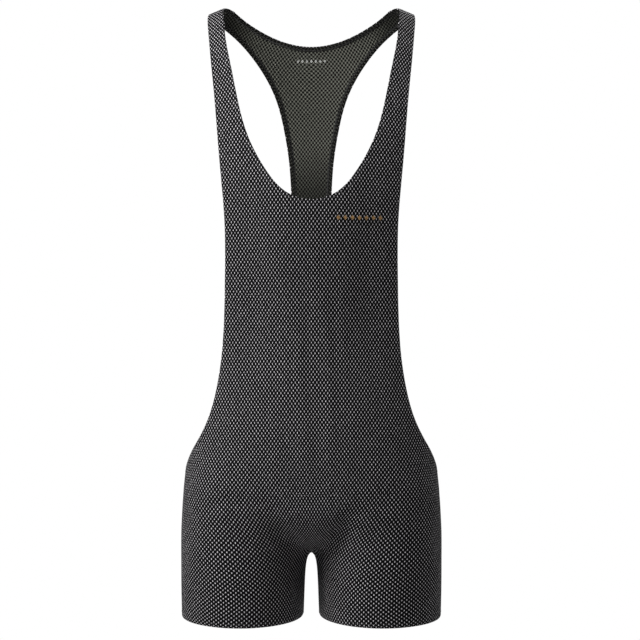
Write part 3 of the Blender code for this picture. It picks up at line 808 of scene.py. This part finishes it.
class Panel:
    """The left half of a panel as a grid: rows from its inner edge to its outer edge."""

    def __init__(self, rows_table, side):
        neck = split_at_shoulder(edge_line(NECK_EDGE, mirrored=True), side)
        armhole = split_at_shoulder(edge_line(ARMHOLE_EDGE, mirrored=False), side)
        neck[-1, 0] = 0
        armhole[-1, 1] = 0
        middle = centre_line(neck[-1, 2], side)
        self.inner_lines = [neck, middle, inseam(middle[-1])]
        self.outer_lines = [armhole, side_seam(armhole[-1])]
        self.side = side
        self.folds = FRONT_FOLDS if side < 0 else BACK_FOLDS
        self.width = COLUMNS * DETAIL
        self.coarse = self.coarse_grid(*row_places(rows_table))
        self.inner, self.outer = row_places(rows_table, DETAIL)
        self.joined = (self.inner >= 1) & (self.inner <= 2)  # rows that start on the middle line
        self.neck_end = int(np.argmax(self.inner >= 1))
        self.crotch = int(np.flatnonzero(self.joined)[-1])
        self.armhole_end = int(np.argmax(self.outer >= 1))
        corners = {0, self.neck_end, self.armhole_end, self.crotch, len(self.inner) - 1}
        self.breaks = [row // DETAIL for row in sorted(corners)]
        self.points, self.normals = self.fine_grid()
        self.close_seams()
        cut = flatten(self.coarse, self.neck_end // DETAIL, self.crotch // DETAIL, side)
        self.grain = refine(cut, self.breaks)

    def coarse_grid(self, inner, outer):
        """Return the grid of points that the solid's panel is made from."""
        starts = line_points(self.inner_lines, inner)
        ends = line_points(self.outer_lines, outer)
        fractions = np.linspace(0, 1, COLUMNS + 1)
        points = np.empty((len(starts), COLUMNS + 1, 3))
        for j, (start, end) in enumerate(zip(starts, ends)):
            lean = self.side * ramp(1 - (2 - inner[j]) / LEAN_REACH)
            lift = ARMHOLE_LIFT * ramp(1 - abs(1 - outer[j]) / LIFT_REACH)
            free = (1, 1, 0 if inner[j] == 3 else ROW_RISE)  # a leg ends level
            path = row_path(start, end, lean, lift, free)
            points[j], _ = settle(evenly(path, fractions), free)
            points[j, 0], points[j, -1] = start, end
        return points

    def fine_grid(self):
        """Return the shown cloth's grid of points on the figure, and the normals there."""
        points = refine(self.coarse, self.breaks)
        shape = points.shape
        points[:, 0] = line_points(self.inner_lines, self.inner)
        points[:, -1] = line_points(self.outer_lines, self.outer)
        free = np.tile((1.0, 1.0, ROW_RISE), (*shape[:2], 1))
        free[-1, :, 2] = 0  # a leg ends level
        settled, normals = settle(points.reshape(-1, 3), free.reshape(-1, 3))
        settled, normals = settled.reshape(shape), normals.reshape(shape)
        settled[:, 0], settled[:, -1] = points[:, 0], points[:, -1]
        return settled + relief(self.folds, 1, settled) * normals, normals

    def close_seams(self):
        """Bring the panel's seams onto the plane between front and back."""
        for column, sewn in ((0, self.inner >= 2), (-1, self.outer >= 1)):
            self.normals[sewn, column, 1] = 0
            self.points[sewn, column, 1] = 0
        self.normals[self.joined, 0, 0] = 0
        self.normals = unit(self.normals)


# ---------------------------------------------------------------- the flat cut
def cell_triangles(rows, width):
    """Return the triangles of a grid's cells, split both ways."""
    number = np.arange(rows * width).reshape(rows, width)
    a, b = number[:-1, :-1], number[1:, :-1]
    c, d = number[1:, 1:], number[:-1, 1:]
    corners = ((a, b, c), (a, c, d), (a, b, d), (b, c, d))
    return np.concatenate([np.stack(three, axis=-1).reshape(-1, 3) for three in corners])


def flat_triangles(points, triangles, side):
    """Return each triangle's corners laid flat, upright and free of its pull, as complex numbers.

    Down is down the figure, and away from the shoulder on top of it.
    """
    corners = points[triangles]
    out, _, height = corners.mean(axis=1).T
    edges = corners - corners[:, :1]
    normals = unit(np.cross(edges[:, 1], edges[:, 2]))
    heights, *pulls = columns(PULL).values()
    wide, long, lean = (np.interp(height, heights, pull) for pull in pulls)
    share = ramp(out / PULL_REACH)
    wide = 1 + share * (wide - 1)
    long = 1 + share * (long - 1)
    over = ramp(1 + height / SHOULDER_FADE)
    down = square_to(np.stack([-lean, side * over, over - 1], axis=1), normals)
    across = np.cross(normals, down)
    flat_across = (edges * across[:, None]).sum(axis=2) / wide[:, None]
    flat_down = (edges * down[:, None]).sum(axis=2) / long[:, None]
    return flat_across - 1j * flat_down


def first_guess(points, crotch):
    """Return a rough flat cut: rows laid level, one below the other."""
    steps = np.linalg.norm(np.diff(points, axis=1), axis=2)
    across = np.concatenate([np.zeros((len(steps), 1)), np.cumsum(steps, axis=1)], axis=1)
    start = points[:, 0, 0].copy()
    start[crotch + 1 :] = across[crotch, -1] - across[crotch + 1 :, -1]
    drops = np.linalg.norm(np.diff(points, axis=0), axis=2).mean(axis=1)
    down = np.concatenate([[0.0], np.cumsum(drops)])
    return across + start[:, None] - 1j * down[:, None]


def weighted_edges(flat, triangles):
    """Return the edges of flat triangles, their weights, and the points at their two ends."""
    starts, ends, apexes = (0, 1, 2), (1, 2, 0), (2, 0, 1)
    edges = flat[:, ends] - flat[:, starts]
    spread = np.conj(flat[:, starts] - flat[:, apexes]) * (flat[:, ends] - flat[:, apexes])
    weights = np.maximum(spread.real / np.abs(spread.imag), SMALLEST_COTANGENT)
    return edges, weights, triangles[:, starts], triangles[:, ends]


def held_inverse(weights, from_points, to_points, held):
    """Return the inverse of the system that ties a grid's points together, with some held."""
    count = to_points.max() + 1
    system = np.zeros((count, count))
    for here, there in ((from_points, to_points), (to_points, from_points)):
        np.add.at(system, (here, here), weights)
        np.add.at(system, (here, there), -weights)
    system[held, held] += PIN_STIFFNESS
    return np.linalg.inv(system)


def flatten(points, neck_end, crotch, side):
    """Return where each grid point lies in the flat cut.

    The middle line stays straight. Triangles keep their shape as nearly as they can: each is
    turned to suit the cut so far, and the cut then follows them, again and again.
    """
    rows, width = points.shape[:2]
    triangles = cell_triangles(rows, width)
    flat = flat_triangles(points.reshape(-1, 3), triangles, side)
    edges, weights, from_points, to_points = weighted_edges(flat, triangles)
    middle = np.arange(neck_end, crotch + 1) * width
    solve_across = held_inverse(weights, from_points, to_points, middle)
    solve_down = held_inverse(weights, from_points, to_points, middle[:1])
    cut = first_guess(points, crotch).reshape(-1)
    top = cut[middle[0]].imag
    for _ in range(FLATTENING_STEPS):
        turns = (weights * np.conj(edges) * (cut[to_points] - cut[from_points])).sum(axis=1)
        turns = np.exp(1j * TURN_SHARE * np.angle(turns))
        pulls = weights * turns[:, None] * edges
        target = np.zeros(rows * width, complex)
        np.add.at(target, to_points, pulls)
        np.add.at(target, from_points, -pulls)
        down = target.imag.copy()
        down[middle[0]] += PIN_STIFFNESS * top
        cut = solve_across @ target.real + 1j * (solve_down @ down)
    return np.stack([cut.real, cut.imag], axis=1).reshape(rows, width, 2)


# ---------------------------------------------------------------- the cloth
def square_to(vectors, directions):
    """Return the unit vectors left when the part along some directions is taken off."""
    return unit(vectors - (vectors * directions).sum(axis=-1, keepdims=True) * directions)


def hem_directions(panel):
    """Return, at each point on a hemmed edge, the direction over the surface out of the cloth."""
    points = panel.points
    away = np.zeros_like(points)
    for column, inward, end in ((0, 1, panel.neck_end), (-1, -2, panel.armhole_end)):
        line = points[: end + 1, column]
        tangent = unit(np.gradient(line, axis=0))
        away[: end + 1, column] = square_to(line - points[: end + 1, inward], tangent)
        away[end, column] = unit(points[end, column] - points[end + 1, column])
    away[-1] = square_to(points[-1] - points[-2], unit(np.gradient(points[-1], axis=0)))
    return away


def cloth_layers(panel):
    """Return the panel's layers of points: the outer face, the fold of its edge, the reverse."""
    away = hem_directions(panel)
    hemmed = (np.abs(away).sum(axis=2) > 0)[..., None]
    layers = []
    for k, angle in enumerate(np.linspace(0, np.pi, FOLD_STEPS)):
        depth = np.where(hemmed, FOLD * (1 - np.cos(angle)), CLOTH * k / FOLD_STEPS)
        back = FOLD * (1 - np.sin(angle))
        layers.append(panel.points - back * away - depth * panel.normals)
    layers.append(panel.points - FOLD * away - CLOTH * panel.normals)
    return np.array(layers)


def cut_edges(panel):
    """Return the grid paths round one half of a panel, except where it joins the other half."""
    rows, width = panel.points.shape[:2]
    outer_edge = [(j, width - 1) for j in range(rows)]
    neck = [(j, 0) for j in range(panel.neck_end + 1)]
    leg = [(j, 0) for j in range(panel.crotch, rows)]
    shoulder = [(0, i) for i in range(width)]
    hem = [(rows - 1, i) for i in range(width)]
    return outer_edge, neck, leg, shoulder, hem


def quads(numbers):
    """Return the corners of each cell of a grid of point numbers."""
    cells = (numbers[:-1, :-1], numbers[1:, :-1], numbers[1:, 1:], numbers[:-1, 1:])
    return np.stack(cells, axis=-1).reshape(-1, 4)


def cloth_mesh(name, panel):
    """Return the mesh of a whole panel: a thin closed shell with folded edges."""
    layers = cloth_layers(panel)
    halves = []
    for flip in ((1, 1, 1), (-1, 1, 1)):
        raised = relief(panel.folds, 0, panel.points * flip)
        halves.append((layers + raised * panel.normals) * flip)
    both = np.array(halves)
    grain = np.stack([panel.grain, panel.grain * (-1, 1)])
    grain = np.broadcast_to(grain[:, None], (*both.shape[:-1], 2)).reshape(-1, 2)
    numbers = np.arange(both[..., 0].size).reshape(both.shape[:-1])  # half, layer, row, column
    numbers[1][:, panel.joined, 0] = numbers[0][:, panel.joined, 0]
    faces, kinds = [], []
    for half in numbers:
        edges = [half[(slice(None), *np.array(edge).T)] for edge in cut_edges(panel)]
        for grid, kind in ((half[0], 0), (half[-1], 1), *((edge, 0) for edge in edges)):
            faces.append(quads(grid))
            kinds += [kind] * len(faces[-1])
    faces = np.concatenate(faces)
    used, places = np.unique(faces, return_inverse=True)
    return new_mesh(
        name, both.reshape(-1, 3)[used], places.reshape(faces.shape), grain[faces], kinds
    )


def new_mesh(name, points, faces, grain=None, kinds=None):
    """Return a smooth closed mesh with its faces turned outwards.

    Grain is where each face's corners lie in the flat cut, and kinds are the faces' materials.
    """
    mesh = bpy.data.meshes.new(name)
    corners = [[int(corner) for corner in face] for face in faces]
    mesh.from_pydata(np.asarray(points).tolist(), [], corners)
    if kinds is not None:
        mesh.polygons.foreach_set("material_index", kinds)
    if grain is not None:
        mesh.uv_layers.new(name="grain").data.foreach_set("uv", grain.reshape(-1))
    shell = bmesh.new()
    shell.from_mesh(mesh)
    bmesh.ops.recalc_face_normals(shell, faces=shell.faces)
    shell.to_mesh(mesh)
    shell.free()
    mesh.shade_smooth()
    return mesh


# ---------------------------------------------------------------- the edges, for hems and sewing
class Station:
    """A place on an edge of the cloth, with the path that runs inwards from it."""

    def __init__(self, points, normals, slant=1.0):
        self.points = points[:REACH_CELLS]
        self.normals = normals[:REACH_CELLS]
        self.slant = slant

    def inward(self, reach):
        """Return the point and normal at a distance in from the edge."""
        both = np.concatenate([self.points, self.normals], axis=1)
        found = sample(both, path_lengths(self.points), reach / self.slant)
        return found[:3], unit(found[3:])

    def mirrored(self):
        """Return the same place on the other half of the garment."""
        flip = np.array((-1, 1, 1))
        return Station(self.points * flip, self.normals * flip, self.slant)


def row_station(panel, row, column):
    """Return the place where a row meets an edge."""
    step = -1 if column else 1
    points = panel.points[row][::step]
    near = [max(row - 1, 0), min(row + 1, len(panel.points) - 1)]
    edge = unit(np.diff(panel.points[near, column], axis=0)[0])
    slant = np.linalg.norm(np.cross(edge, unit(points[1] - points[0])))
    return Station(points, panel.normals[row][::step], max(slant, STEEPEST_ROW))


def column_station(panel, row, column, step):
    """Return the place where a column meets an edge, with its path up or down the column."""
    return Station(panel.points[row::step, column], panel.normals[row::step, column])


def halfway(first, second):
    """Return the place midway between two."""
    return Station(
        (first.points + second.points) / 2,
        unit(first.normals + second.normals),
        (first.slant + second.slant) / 2,
    )


def over_shoulder(front, back, column, front_end, back_end):
    """Return the places along an edge from the front over the shoulder to the back."""
    ahead = [row_station(front, j, column) for j in range(front_end - 1, 0, -1)]
    top = halfway(row_station(front, 0, column), row_station(back, 0, column))
    behind = [row_station(back, j, column) for j in range(1, back_end)]
    return [*ahead, top, *behind]


def neck_stations(front, back):
    """Return the places round the neckline, from the middle of the front."""
    half = over_shoulder(front, back, 0, front.neck_end, back.neck_end)
    other = [station.mirrored() for station in half[::-1]]
    front_middle = column_station(front, front.neck_end, 0, 1)
    back_middle = column_station(back, back.neck_end, 0, 1)
    return [front_middle, *half, back_middle, *other]


def armhole_stations(front, back):
    """Return the places round the left armhole, from the side seam up the front."""
    ends = [column_station(panel, panel.armhole_end, -1, 1) for panel in (front, back)]
    return [
        halfway(*ends), *over_shoulder(front, back, -1, front.armhole_end, back.armhole_end)
    ]


def leg_stations(front, back):
    """Return the places round the left leg's opening, from the inseam round the front."""
    ahead, behind = (
        [column_station(panel, len(panel.points) - 1, i, -1) for i in range(panel.width + 1)]
        for panel in (front, back)
    )
    inner = halfway(ahead[0], behind[0])
    outer = halfway(ahead[-1], behind[-1])
    return [inner, *ahead[1:-1], outer, *behind[1:-1][::-1]]


def path_at(stations, reach, lift):
    """Return the points and normals along an edge, at a reach in from it and lifted off it."""
    found = np.array([station.inward(reach) for station in stations])
    points, normals = found[:, 0], found[:, 1]
    return points + lift * normals, normals


# ---------------------------------------------------------------- turned-in hems
def ring_lengths(points):
    """Return the distance travelled at each point of a ring, and on its return to the first."""
    return path_lengths(np.concatenate([points, points[:1]]))


def ring_grid(rings, size, closed):
    """Return the point numbers of a tube's rings, where each ring ends as it begins.

    Where the tube is closed too, its last ring is its first.
    """
    numbers = np.arange(rings * size).reshape(rings, size)
    return np.pad(numbers, ((0, int(closed)), (0, 1)), mode="wrap")


def hem_mesh(name, stations):
    """Return the closed band that lies inside an edge, where the cloth is turned in."""
    named = columns(HEM_SECTION)
    section_places = zip(named["reach"], named["depth"])
    lines = [path_at(stations, reach, -depth)[0] for reach, depth in section_places]
    points = np.stack(lines, axis=1)
    numbers = ring_grid(*points.shape[:2], closed=True)
    along, around = ring_lengths(points.mean(axis=1)), ring_lengths(points[0])
    grain = np.stack(np.meshgrid(along, around, indexing="ij"), axis=-1).reshape(-1, 2)
    corners = quads(np.arange(numbers.size).reshape(numbers.shape))
    return new_mesh(name, points.reshape(-1, 3), quads(numbers), grain[corners])


# ---------------------------------------------------------------- thread
def even_steps(points, normals, step, closed):
    """Return a path's points and normals again, about a step apart."""
    both = np.concatenate([points, normals], axis=1)
    if closed:
        both = np.concatenate([both, both[:1]])
    lengths = path_lengths(both[:, :3])
    count = max(int(round(lengths[-1] / step)), 2)
    at = np.linspace(0, lengths[-1], count + 1)[: count if closed else None]
    found = sample(both, lengths, at)
    return found[:, :3], unit(found[:, 3:])


def tube(points, normals, closed):
    """Return the points and faces of a thread along a path."""
    if closed:
        ahead = np.roll(points, -1, axis=0) - np.roll(points, 1, axis=0)
    else:
        ahead = np.gradient(points, axis=0)
    ahead = unit(ahead)
    aside = unit(np.cross(ahead, normals))
    up = np.cross(aside, ahead)
    rings = []
    for turn in np.linspace(0, 2 * np.pi, THREAD_SIDES, endpoint=False):
        rings.append(points + THREAD_RADIUS * (math.cos(turn) * aside + math.sin(turn) * up))
    numbers = ring_grid(len(points), THREAD_SIDES, closed)
    faces = list(quads(numbers))
    if not closed:
        faces += [numbers[0, :-1], numbers[-1, :-1]]
    return np.stack(rings, axis=1).reshape(-1, 3), faces


def running_stitches(stations, reach):
    """Return a thread round an edge that dips into the cloth between its stitches."""
    points, normals = path_at(stations, reach, 0)
    points, normals = even_steps(points, normals, STITCH / STITCH_SAMPLES, closed=True)
    count = len(points) // STITCH_SAMPLES * STITCH_SAMPLES
    points, normals = points[:count], normals[:count]
    phase = np.arange(count) * 2 * np.pi / STITCH_SAMPLES
    lift = THREAD_RADIUS * (STITCH_SWING * np.cos(phase) - STITCH_SINK)
    return tube(points + lift[:, None] * normals, normals, closed=True)


def zigzag(first, second, lift, closed):
    """Return a thread that goes to and fro between two lines."""
    lines = [np.array(even_steps(*line, STITCH, closed)) for line in (first, second)]
    count = min(line.shape[1] for line in lines)
    both = np.stack([line[:, :count] for line in lines], axis=2)  # point or normal, step, line
    points, normals = both.reshape(2, -1, 3)
    return tube(points + lift * normals, normals, closed)


def joined_threads(name, threads, material):
    """Make one piece of several threads."""
    points, faces, start = [], [], 0
    for thread_points, thread_faces in threads:
        points.append(thread_points)
        faces += [face + start for face in thread_faces]
        start += len(thread_points)
    return add_piece(name, new_mesh(name, np.concatenate(points), faces), material)


def hem_threads(name, stations, material):
    """Sew a hem: stitches on the outer face, and a thread over its cut edge inside."""
    outer = running_stitches(stations, STITCH_REACH)
    first = path_at(stations, COVER_REACH[0], -CLOTH - FOLD - THREAD_RADIUS / 2)
    second = path_at(stations, COVER_REACH[1], -CLOTH - THREAD_RADIUS)
    return joined_threads(name, [outer, zigzag(first, second, 0, closed=True)], material)


def seam_threads(name, ahead, behind, material):
    """Sew a flat seam: threads to and fro across it on both faces."""
    lines = [path_at(stations, FLATLOCK_HALF, 0) for stations in (ahead, behind)]
    lifts = (THREAD_RADIUS / 2, -CLOTH - THREAD_RADIUS / 2)
    threads = [zigzag(*lines, lift, closed=False) for lift in lifts]
    return joined_threads(name, threads, material)


def sew_seams(front, back, material):
    """Sew the shoulder seams, side seams and inseams, on both sides of the garment."""
    shoulder, side, inside = [], [], []
    for panel in (front, back):
        last = len(panel.points)
        shoulder.append([column_station(panel, 0, i, 1) for i in range(panel.width + 1)])
        side.append([row_station(panel, j, -1) for j in range(panel.armhole_end, last)])
        inside.append([row_station(panel, j, 0) for j in range(panel.crotch + 2, last)])
    pieces = []
    for name, pair in (("shoulder_seam", shoulder), ("side_seam", side), ("inseam", inside)):
        other = [[station.mirrored() for station in stations] for stations in pair]
        pieces.append(seam_threads(f"{name}_left", *pair, material))
        pieces.append(seam_threads(f"{name}_right", *other, material))
    return pieces


# ---------------------------------------------------------------- small generic marks
def along_at(height, side):
    """Return the distance along the profile at a height, on the front or the back."""
    profile = front_profile if side < 0 else back_profile
    along = profile_along[: summit + 1] if side < 0 else profile_along[summit:][::-1]
    return np.interp(height, profile[:, 1], along)


def lozenge_row(name, side, mark, material):
    """Make a level row of small printed lozenges, outside the front or inside the back."""
    x_middle, height, width, tall, spread = mark
    corners = np.array([(0, 0), (0.5, 0), (0, 0.5), (-0.5, 0), (0, -0.5)]) * (width, tall)
    points, faces = [], []
    for middle in np.linspace(-spread / 2, spread / 2, MARK_COUNT):
        x = x_middle + middle + corners[:, 0]
        down = along_at(height, side) + corners[:, 1]
        base, normals = chart(x, down), chart_normals(x, down)
        start = len(points)
        for lift in (MARK_LIFT, MARK_LIFT + MARK_THICK):
            points += list(base + (lift if side < 0 else -CLOTH - lift) * normals)
        top = start + len(corners)
        for i in range(4):
            here, there = 1 + i, 1 + (i + 1) % 4
            faces.append((start, start + here, start + there))
            faces.append((top, top + here, top + there))
            faces.append((start + here, start + there, top + there, top + here))
    mesh = new_mesh(name, points, faces)
    mesh.shade_flat()
    return add_piece(name, mesh, material)


# ---------------------------------------------------------------- materials
class Nodes:
    """The nodes of a material or of the world, with a short way to add and link them."""

    def __init__(self, owner):
        owner.use_nodes = True
        self.tree = owner.node_tree

    def add(self, kind, inputs=(), output=0, **settings):
        """Add a node with its inputs given as values or outputs, and return one of its outputs."""
        node = self.tree.nodes.new(kind)
        for key, value in settings.items():
            setattr(node, key, value)
        self.feed(node, inputs)
        return node.outputs[output]

    def feed(self, node, inputs):
        """Give a node's inputs their values, or link outputs to them."""
        for key, value in dict(inputs).items():
            if isinstance(value, bpy.types.NodeSocket):
                self.tree.links.new(value, node.inputs[key])
            else:
                node.inputs[key].default_value = value

    def math(self, operation, *values):
        """Add a Math node."""
        return self.add("ShaderNodeMath", enumerate(values), operation=operation)

    def vector(self, operation, *values, output=0):
        """Add a Vector Math node."""
        return self.add(
            "ShaderNodeVectorMath", enumerate(values), output=output, operation=operation
        )

    def separate(self, vector):
        """Return the x, y and z of a vector."""
        return self.add("ShaderNodeSeparateXYZ", {0: vector}).node.outputs

    def soft_step(self, value, low, high, start=0.0, end=1.0):
        """Return start where value is at low, turning softly into end at high."""
        inputs = {"Value": value, "From Min": low, "From Max": high, "To Min": start, "To Max": end}
        return self.add(
            "ShaderNodeMapRange", inputs, interpolation_type="SMOOTHSTEP", clamp=True
        )

    def noise(self, place, scale, output=0):
        """Return noise, as a value or as a colour."""
        return self.add("ShaderNodeTexNoise", {"Vector": place, "Scale": scale}, output)

    def mix(self, share, first, second):
        """Return a mix of two colours, whose sockets share their names with those of numbers."""
        inputs = {0: share, 6: colour(first), 7: colour(second)}
        return self.add("ShaderNodeMix", inputs, output=2, data_type="RGBA")


def colour(value):
    """Return a colour with its alpha, or an output as it is."""
    if isinstance(value, bpy.types.NodeSocket):
        return value
    return (*value, 1.0)


def nearest_spot(nodes, offsets, size):
    """Return the distance to the nearer of two staggered spots, in units of their size."""
    scale = (1 / size[0], 1 / size[1], 0)
    scaled = [nodes.vector("MULTIPLY", offset, scale) for offset in offsets]
    distances = [nodes.vector("LENGTH", each, output="Value") for each in scaled]
    return nodes.math("MINIMUM", *distances)


def knit_masks(nodes, period, hole_size):
    """Return the masks of a mesh knit's staggered holes and of the bright loops between them."""
    middle = (0.5, 0.5, 0.5)
    grain = nodes.add("ShaderNodeUVMap", uv_map="grain")
    stray = nodes.vector("SUBTRACT", nodes.noise(grain, STRAY_SCALE, output="Color"), middle)
    stray = nodes.vector("MULTIPLY", stray, (STRAY, STRAY, 0))
    place = nodes.vector("DIVIDE", nodes.vector("ADD", grain, stray), (*period, 1))
    fraction = nodes.vector("FRACTION", place)
    from_half = nodes.vector("ABSOLUTE", nodes.vector("SUBTRACT", fraction, middle))
    from_whole = nodes.vector("SUBTRACT", middle, from_half)
    half_x, half_y, _ = nodes.separate(from_half)
    whole_x, whole_y, _ = nodes.separate(from_whole)
    one = nodes.add("ShaderNodeCombineXYZ", {0: half_x, 1: whole_y})
    other = nodes.add("ShaderNodeCombineXYZ", {0: whole_x, 1: half_y})
    hole = nodes.soft_step(nearest_spot(nodes, (from_half, from_whole), hole_size), *HOLE_RIM)
    dash = nodes.soft_step(nearest_spot(nodes, (one, other), DASH_SIZE), *DASH_RIM)
    return grain, hole, dash


def painted_shade(nodes):
    """Return how much painted shade darkens the reverse's colour further down and out inside the
    garment.
    """
    x, _, height = nodes.separate(nodes.add("ShaderNodeTexCoord", output="Object"))
    depth = nodes.soft_step(height, *SHADE_HEIGHTS)
    aside = nodes.soft_step(nodes.math("ABSOLUTE", x), *SHADE_SIDES)
    return nodes.math("MULTIPLY", nodes.math("MAXIMUM", depth, aside), SHADE)


def new_material(name):
    """Return a material, its nodes and its shader."""
    material = bpy.data.materials.new(name)
    nodes = Nodes(material)
    return material, nodes, nodes.tree.nodes["Principled BSDF"]


def knit_material(name, period, tones, hole_size=HOLE_SIZE, with_painted_shade=False):
    """Return the material of a mesh knit: holes, ground and bright loops, and painted shade if
    asked.
    """
    material, nodes, shader = new_material(name)
    grain, hole, dash = knit_masks(nodes, period, hole_size)
    ground_tone, dash_tone, hole_tone = tones
    loops = nodes.soft_step(nodes.noise(grain, LOOP_SCALE), *NOISE_RANGE, *LOOP_GAIN)
    patches = nodes.soft_step(nodes.noise(grain, PATCH_SCALE), *NOISE_RANGE, *PATCH_GAIN)
    lit = nodes.math("MULTIPLY", dash, nodes.math("MULTIPLY", loops, patches))
    tone = nodes.mix(lit, ground_tone, dash_tone)
    tone = nodes.mix(hole, tone, hole_tone)
    # painted shade: the colour darkens towards the holes' tone lower down and under the shoulders
    if with_painted_shade:
        tone = nodes.mix(painted_shade(nodes), tone, hole_tone)
    relief_inputs = {
        "Height": nodes.math("SUBTRACT", dash, hole),
        "Distance": KNIT_RELIEF,
        "Strength": BUMP_STRENGTH,
    }
    inputs = {
        "Base Color": tone,
        "Normal": nodes.add("ShaderNodeBump", relief_inputs),
        "Roughness": nodes.math("MULTIPLY_ADD", dash, DASH_GLOSS, GROUND_ROUGHNESS),
        "Specular IOR Level": KNIT_SPECULAR,
    }
    nodes.feed(shader, inputs)
    return material


def spotted_material(name, tone, gain, scale, roughness, spots=None):
    """Return a material whose tone changes by a gain in fine spots, softly edged if asked: painted
    sheen on thread, wear on print.
    """
    material, nodes, shader = new_material(name)
    share = nodes.noise(nodes.add("ShaderNodeTexCoord", output="Object"), scale)
    if spots:
        share = nodes.soft_step(share, *spots)
    mixed = nodes.mix(share, tone, tuple(gain * part for part in tone))
    nodes.feed(shader, {"Base Color": mixed, "Roughness": roughness})
    return material


# ---------------------------------------------------------------- putting it together
def put(name, data, place=(0, 0, 0), turn=(0, 0, 0)):
    """Put an object in the scene."""
    thing = bpy.data.objects.new(name, data)
    thing.location = place
    thing.rotation_euler = turn
    bpy.context.scene.collection.objects.link(thing)
    return thing


def add_piece(name, mesh, *materials):
    """Put a mesh in the scene as a piece that rides on the garment's one body."""
    for material in materials:
        mesh.materials.append(material)
    piece = put(name, mesh)
    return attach(piece, "root") or piece


def room():
    """Return the world: a white backdrop behind the garment, in a dimmer room."""
    world = bpy.data.worlds.new("room")
    nodes = Nodes(world)
    direction = nodes.add("ShaderNodeTexCoord")
    strength = nodes.soft_step(nodes.separate(direction)[1], *BACKDROP_EDGE, ROOM, BACKDROP)
    nodes.feed(nodes.tree.nodes["Background"], {"Color": (1, 1, 1, 1), "Strength": strength})
    return world


def add_floor():
    """Make the plain pale floor."""
    half = FLOOR_SIZE / 2
    corners = [(x * half, y * half, FLOOR_HEIGHT) for x, y in ((-1, -1), (1, -1), (1, 1), (-1, 1))]
    mesh = bpy.data.meshes.new("floor")
    mesh.from_pydata(corners, [], [(0, 1, 2, 3)])
    material, nodes, shader = new_material("pale_floor")
    tone = colour(FLOOR_TONE)
    nodes.feed(shader, {"Base Color": tone, "Roughness": FLOOR_ROUGHNESS, "Specular IOR Level": 0})
    mesh.materials.append(material)
    put("floor", mesh)


def add_light(name, place, size, power):
    """Add a soft square light that points at the garment."""
    data = bpy.data.lights.new(name, "AREA")
    data.size = size
    data.energy = power
    aim = np.array(AIM) - np.array(place)
    flat = math.hypot(aim[0], aim[1])
    put(name, data, place, (math.atan2(flat, -aim[2]), 0, math.atan2(aim[1], aim[0]) - math.pi / 2))


def studio():
    """Make the room, the floor, the lights and the camera."""
    scene = bpy.context.scene
    scene.view_settings.view_transform = "Standard"
    scene.world = room()
    add_floor()
    for number, (x, y, z, size, power) in enumerate(LIGHTS[1:]):
        add_light(f"light_{number}", (x, y, z), size, power)
    camera = bpy.data.cameras.new("camera")
    camera.sensor_width = SENSOR_WIDTH
    camera.lens = FOCAL_PIXELS / PICTURE_WIDTH * SENSOR_WIDTH
    camera.shift_x = SHIFT_PIXELS / PICTURE_WIDTH
    scene.camera = put("camera", camera, CAMERA_PLACE, (math.pi / 2, 0, 0))


def make_panel(name, table, side, period):
    """Make the shown cloth of a panel, and return it with its grid."""
    outer = knit_material(f"{name}_knit", period, (GROUND, DASH, HOLE))
    reverse_tones = (REVERSE_GROUND, REVERSE_DASH, REVERSE_HOLE)
    # only the back's reverse gets painted shade, inside the garment
    reverse = knit_material(
        f"{name}_reverse", period, reverse_tones, REVERSE_HOLE_SIZE, with_painted_shade=side > 0
    )
    panel = Panel(table, side)
    piece = add_piece(name, cloth_mesh(name, panel), outer, reverse)
    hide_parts(name)
    return piece, panel


def make_hems(front, back, thread):
    """Turn in and sew the edges of the neck, armholes and legs, and return the pieces."""
    cloth = knit_material("hem_knit", BACK_PERIOD, (HEM_GROUND, HEM_DASH, HEM_HOLE))
    edges = {("neck", ""): neck_stations(front, back)}
    for kind, find in (("armhole", armhole_stations), ("leg", leg_stations)):
        edges[kind, "_left"] = find(front, back)
        edges[kind, "_right"] = [station.mirrored() for station in edges[kind, "_left"]]
    pieces = []
    for (kind, side_name), stations in edges.items():
        name = f"{kind}_hem{side_name}"
        piece = add_piece(name, hem_mesh(name, stations), cloth)
        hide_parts(name)
        pieces.append(piece)
        pieces.append(hem_threads(f"{kind}_stitches{side_name}", stations, thread))
    return pieces


def main():
    """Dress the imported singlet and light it."""
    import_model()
    front_piece, front = make_panel("front", FRONT_ROWS, -1, FRONT_PERIOD)
    back_piece, back = make_panel("back", BACK_ROWS, 1, BACK_PERIOD)
    # the thread's lighter spots are painted sheen on its twist
    thread = spotted_material("thread", THREAD, THREAD_SHEEN_GAIN, THREAD_SCALE, THREAD_ROUGHNESS)
    trims = make_hems(front, back, thread) + sew_seams(front, back, thread)
    for name, side, *mark, ink, tone in MARKS[1:]:
        ink = spotted_material(ink, tone, WORN_GAIN, WORN_SCALE, PRINT_ROUGHNESS, WORN_RANGE)
        lozenge_row(name, side, mark, ink)
    studio()


main()
